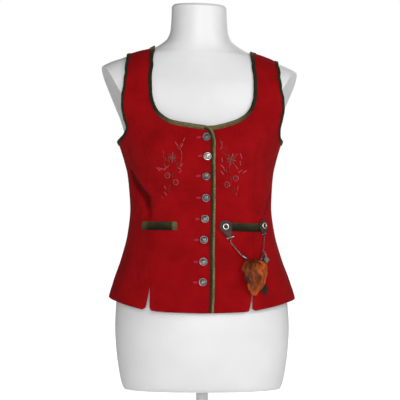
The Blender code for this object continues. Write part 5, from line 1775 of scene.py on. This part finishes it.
def make_pendant(pewter, enamel):
    """A lozenge with an enamel middle in a raised frame, on its two wire loops."""
    centre = on_front(PENDANT["x"], PENDANT["z"], PENDANT["low"])
    turn, height = place_at(PENDANT["x"], PENDANT["z"])
    normal = frame_at(np.array(turn), np.array(height))[3]
    level_way = unit(np.cross(normal, UP))
    rise = np.cross(level_way, normal)
    corners = [(0, 1), (1, 0), (0, -1), (-1, 0)]
    outline = []
    for k in range(4):
        (ua, va), (ub, vb) = corners[k], corners[(k + 1) % 4]
        for s in np.linspace(0.0, 1.0, 8, endpoint=False):
            outline.append((ua + (ub - ua) * s, va + (vb - va) * s))
    rings = ((0.94, 0.0), (1.0, 0.25), (1.0, 0.75), (0.95, 0.95), (0.86, 1.0), (0.80, 0.92),
             (0.77, 0.7), (0.6, 0.72), (0.45, 0.86), (0.2, 1.0))
    points = [centre]
    for share, up_share in rings:
        for u, v in outline:
            points.append(centre + normal * up_share * PENDANT["thick"]
                          + level_way * u * share * PENDANT["half_width"]
                          + rise * v * share * PENDANT["half_height"])
    points.append(centre + normal * PENDANT["thick"])
    faces = stack_faces(len(rings), len(outline))
    slots = ([0] * (len(rings) - 3) + [1] * 4) * len(outline)
    made = piece("lozenge_pendant", points, faces, [pewter, enamel], slots, sharp=35.0)
    place_piece(made, "pendant", ["pendant"])
    foot = centre + rise * (PENDANT["half_height"] + SEAT) + 0.5 * normal * PENDANT["thick"]
    loop = on_front(*PENDANT_LOOP.values())
    way = loop - foot
    middle = foot + 0.55 * way
    axis = np.cross(way, normal)
    lower = wire_ring(foot + 0.22 * way, normal, way, 0.34 * np.linalg.norm(way), 1.2, 0.42)
    upper = wire_ring(middle + 0.28 * way, axis, way, 0.40 * np.linalg.norm(way), 1.15, 0.42)
    points, faces = gather((lower, upper))
    made = piece("pendant_loop", points, faces, pewter)
    place_piece(made, "pendant", ["pendant_ring"])


# How finely the form is divided: along its face, across an arm plate, and in height
FORM_STEPS = 56
PLATE_STEPS = 14
FORM_ROW = 3.2


def form_heights():
    """Heights of the form's rings: close together where it turns."""
    marks = sorted(list(BODY["z"]) + list(PLATE["z"]) + [PLATE_FOOT_Z + 0.2, PLATE_TOP_Z - 0.2])
    heights = [marks[0], marks[0] + 0.6, marks[0] + 1.8, marks[0] + 4.0]
    for low, high in zip(marks[:-1], marks[1:]):
        steps = max(1, int(math.ceil((high - low) / FORM_ROW)))
        heights += [low + (high - low) * k / steps for k in range(1, steps + 1)]
    return sorted(set(round(float(z), 3) for z in heights))


def make_form(shell):
    """The white torso: fine smooth rings, flat arm plates, a rounded foot and a capped neck."""
    heights = form_heights()
    points = []
    for z in heights:
        half = form_half_ring(z, FORM_STEPS, PLATE_STEPS)
        other = mirror_half(half, z)[1:-1][::-1]
        points.append(np.vstack((half, other)))
    sides = len(points[0])
    under = [points[0].mean(axis=0) + (points[0] - points[0].mean(axis=0)) * s for s in (0.5, 0.985)]
    cap = [points[-1].mean(axis=0) + (points[-1] - points[-1].mean(axis=0)) * s
           for s in (0.985, 0.95, 0.5)]
    for ring_points, lift in zip(cap, (0.55, 0.8, 0.85)):
        ring_points[:, 2] += lift
    rings = under + points + cap
    faces = ring_quads(len(rings), sides, False)
    made = piece("dress_form_shell", np.vstack(rings), faces, shell, sharp=28.0)
    place_piece(made, "figure", ["dress_form"])


def make_stand(coat, plastic):
    """The round plate, its collared pole and the dark ferrule under the form."""
    top = FORM_FOOT_Z - SEAT
    ferrule_foot = top - FERRULE_HEIGHT
    centre = np.array((LEAN_AT_HIP, 0.0, 0.0))
    radius = BASE_RADIUS
    base = ((0.0, 0.0), (radius - 2.0, 0.0), (radius - 1.0, 0.2), (radius - 0.25, 0.9), (radius, 1.8),
            (radius, 8.0), (radius - 0.5, 9.4), (radius - 2.0, 10.5), (radius - 5.0, 11.2),
            (radius - 10.0, 11.75), (radius - 16.0, 11.95), (radius - 24.0, BASE_THICKNESS),
            (60.0, BASE_THICKNESS), (24.0, BASE_THICKNESS), (0.0, BASE_THICKNESS))
    foot = BASE_THICKNESS + SEAT
    collar = foot + 10.0
    pole = ((0.0, foot), (21.5, foot), (22.0, foot + 0.5), (22.0, collar - 2.4), (21.4, collar - 0.9),
            (19.8, collar), (13.6, collar), (12.9, collar + 0.3), (12.3, collar + 1.0),
            (POLE_RADIUS, collar + 2.4), (POLE_RADIUS, 0.5 * (collar + ferrule_foot)),
            (POLE_RADIUS, ferrule_foot - SEAT - 0.4), (POLE_RADIUS - 0.4, ferrule_foot - SEAT),
            (0.0, ferrule_foot - SEAT))
    ferrule = ((0.0, ferrule_foot), (FERRULE_RADIUS - 1.2, ferrule_foot),
               (FERRULE_RADIUS - 0.4, ferrule_foot + 0.4), (FERRULE_RADIUS, ferrule_foot + 1.2),
               (FERRULE_RADIUS, top - 3.6), (FERRULE_RADIUS - 0.5, top - 3.3),
               (FERRULE_RADIUS - 0.5, top - 2.5), (FERRULE_RADIUS, top - 2.2), (FERRULE_RADIUS, top),
               (0.0, top))
    for name, node, profile, stuff, slot in (
            ("plate_foot", "stand_base", base, coat, "white_painted_steel"),
            ("collared_pole", "stand_pole", pole, coat, "white_painted_steel"),
            ("dark_ferrule", "stand_ferrule", ferrule, plastic, "black_plastic")):
        points, faces, _ = spin_profile(profile, centre, UP, 128)
        made = piece(name, points, faces, stuff, sharp=40.0)
        place_piece(made, "figure", [node])


# The studio, in metres: the camera, the floor, and each light's place, aim, size and power in W
CAMERA_X = -0.001 + CENTRE_X * MM
CAMERA_AWAY = 3.5
CAMERA_Z = 0.495
LENS_MM = 157.5
SENSOR_MM = 36.0
FLOOR_REACH = 14.0
FLOOR_Z = -0.0005
FLOOR_GLOW = 0.22
AMBIENT = 0.16
LIGHTS = (
    ("key_softbox", (1.9, -2.1, 1.7), (0.0, 0.0, 0.52), 1.3, 26.0),
    ("front_softbox", (0.0, -3.1, 1.0), (0.0, 0.0, 0.55), 1.6, 47.0),
    ("left_softbox", (-2.4, -1.2, 1.0), (0.0, 0.0, 0.5), 1.4, 0.8),
    ("back_softbox", (0.6, 2.4, 1.5), (0.0, 0.0, 0.55), 1.8, 16.0),
)


def softbox(name, place, aim, size, power, colour="#ffffff"):
    """A square area light at a place in metres, aimed at a point."""
    lamp = bpy.data.lights.new(name, "AREA")
    lamp.shape = "SQUARE"
    lamp.size = size
    lamp.energy = power
    lamp.color = linear(colour)[:3]
    made = bpy.data.objects.new(name, lamp)
    made.location = place
    made.rotation_euler = (Vector(aim) - Vector(place)).to_track_quat("-Z", "Y").to_euler()
    bpy.context.scene.collection.objects.link(made)


def make_floor():
    """A pale matte floor with a glow: full for the camera away from the stand, weaker near it as
    painted shade, and faint as a light.
    """
    mesh = bpy.data.meshes.new("studio_floor")
    corners = ((-1, -1), (1, -1), (1, 1), (-1, 1))
    mesh.from_pydata([(x * FLOOR_REACH, y * FLOOR_REACH, FLOOR_Z) for x, y in corners], [],
                     [(0, 1, 2, 3)])
    floor = bpy.data.objects.new("studio_floor", mesh)
    bpy.context.scene.collection.objects.link(floor)
    matte = bpy.data.materials.new("painted_studio_floor")
    matte.use_nodes = True
    body = matte.node_tree.nodes["Principled BSDF"]
    body.inputs["Base Color"].default_value = linear("#f4f4f4")
    body.inputs["Roughness"].default_value = 0.9
    body.inputs["Specular IOR Level"].default_value = 0.1
    body.inputs["Emission Color"].default_value = linear("#ffffff")
    tree = matte.node_tree
    spot = add(tree, "ShaderNodeTexCoord").outputs["Object"]
    away = add(tree, "ShaderNodeVectorMath", {"operation": "LENGTH"}, {0: spot}).outputs["Value"]
    # For the camera the glow falls off towards the stand: a painted shade round it
    camera_glow_shaded_near_stand = add(tree, "ShaderNodeMapRange", {"From Min": 0.1, "From Max": 0.7, "To Min": 0.35},
                {"Value": away}).outputs["Result"]
    ray = add(tree, "ShaderNodeLightPath").outputs["Is Camera Ray"]
    glow = add(tree, "ShaderNodeMix", {2: FLOOR_GLOW}, {0: ray, 3: camera_glow_shaded_near_stand}).outputs[0]
    tree.links.new(glow, body.inputs["Emission Strength"])
    mesh.materials.append(matte)


def make_world():
    """A white world, full for the camera and faint as a light."""
    world = bpy.data.worlds.new("studio_world")
    bpy.context.scene.world = world
    world.use_nodes = True
    tree = world.node_tree
    back = tree.nodes["Background"]
    back.inputs["Color"].default_value = linear("#ffffff")
    seen = add(tree, "ShaderNodeLightPath").outputs["Is Camera Ray"]
    strength = add(tree, "ShaderNodeMapRange", {"To Min": AMBIENT, "To Max": 1.0},
                   {"Value": seen}).outputs["Result"]
    tree.links.new(strength, back.inputs["Strength"])


def make_camera():
    """The camera, square on to the front."""
    camera = bpy.data.cameras.new("camera")
    camera.lens = LENS_MM
    camera.sensor_width = SENSOR_MM
    camera.clip_start = 0.1
    camera.clip_end = 50.0
    made = bpy.data.objects.new("camera", camera)
    made.location = (CAMERA_X, -CAMERA_AWAY, CAMERA_Z)
    made.rotation_euler = (math.radians(90.0), 0.0, 0.0)
    bpy.context.scene.collection.objects.link(made)
    bpy.context.scene.camera = made


def make_studio():
    """The floor, the world, the soft lights and the camera."""
    bpy.context.scene.view_settings.view_transform = "Standard"
    make_floor()
    make_world()
    for row in LIGHTS:
        softbox(*row)
    make_camera()


def main():
    """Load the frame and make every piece."""
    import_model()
    stuff = make_materials()
    make_studio()
    make_form(stuff["shell"])
    make_stand(stuff["coat"], stuff["plastic"])
    make_panels(stuff["felt"])
    make_bindings(stuff["velvet"])
    make_welts(stuff["velvet"])
    make_buttons(stuff["pewter"], stuff["tarnish"], stuff["bright"])
    make_buttonholes(stuff["crimson"])
    make_embroidery(stuff["rose"], stuff["sage"])
    for i, tag in enumerate(TAB_TAGS):
        make_tab(i, tag, stuff["leather"])
    make_metal(stuff["pewter"], stuff["tarnish"], stuff["bright"])
    make_fur("fox_fur_tuft", "fur_tuft", TUFT, stuff["fox"], seed=11, locks=60, hairs=56,
             hair=0.27, spread=0.3, loose=1.35)
    make_fur("dark_fur_tuft", "dark_tuft", DARK_TUFT, stuff["dark_fur"], seed=23,
             locks=30, hairs=46, hair=0.25, spread=0.1, loose=0.3)
    make_pendant(stuff["pewter"], stuff["enamel"])


main()
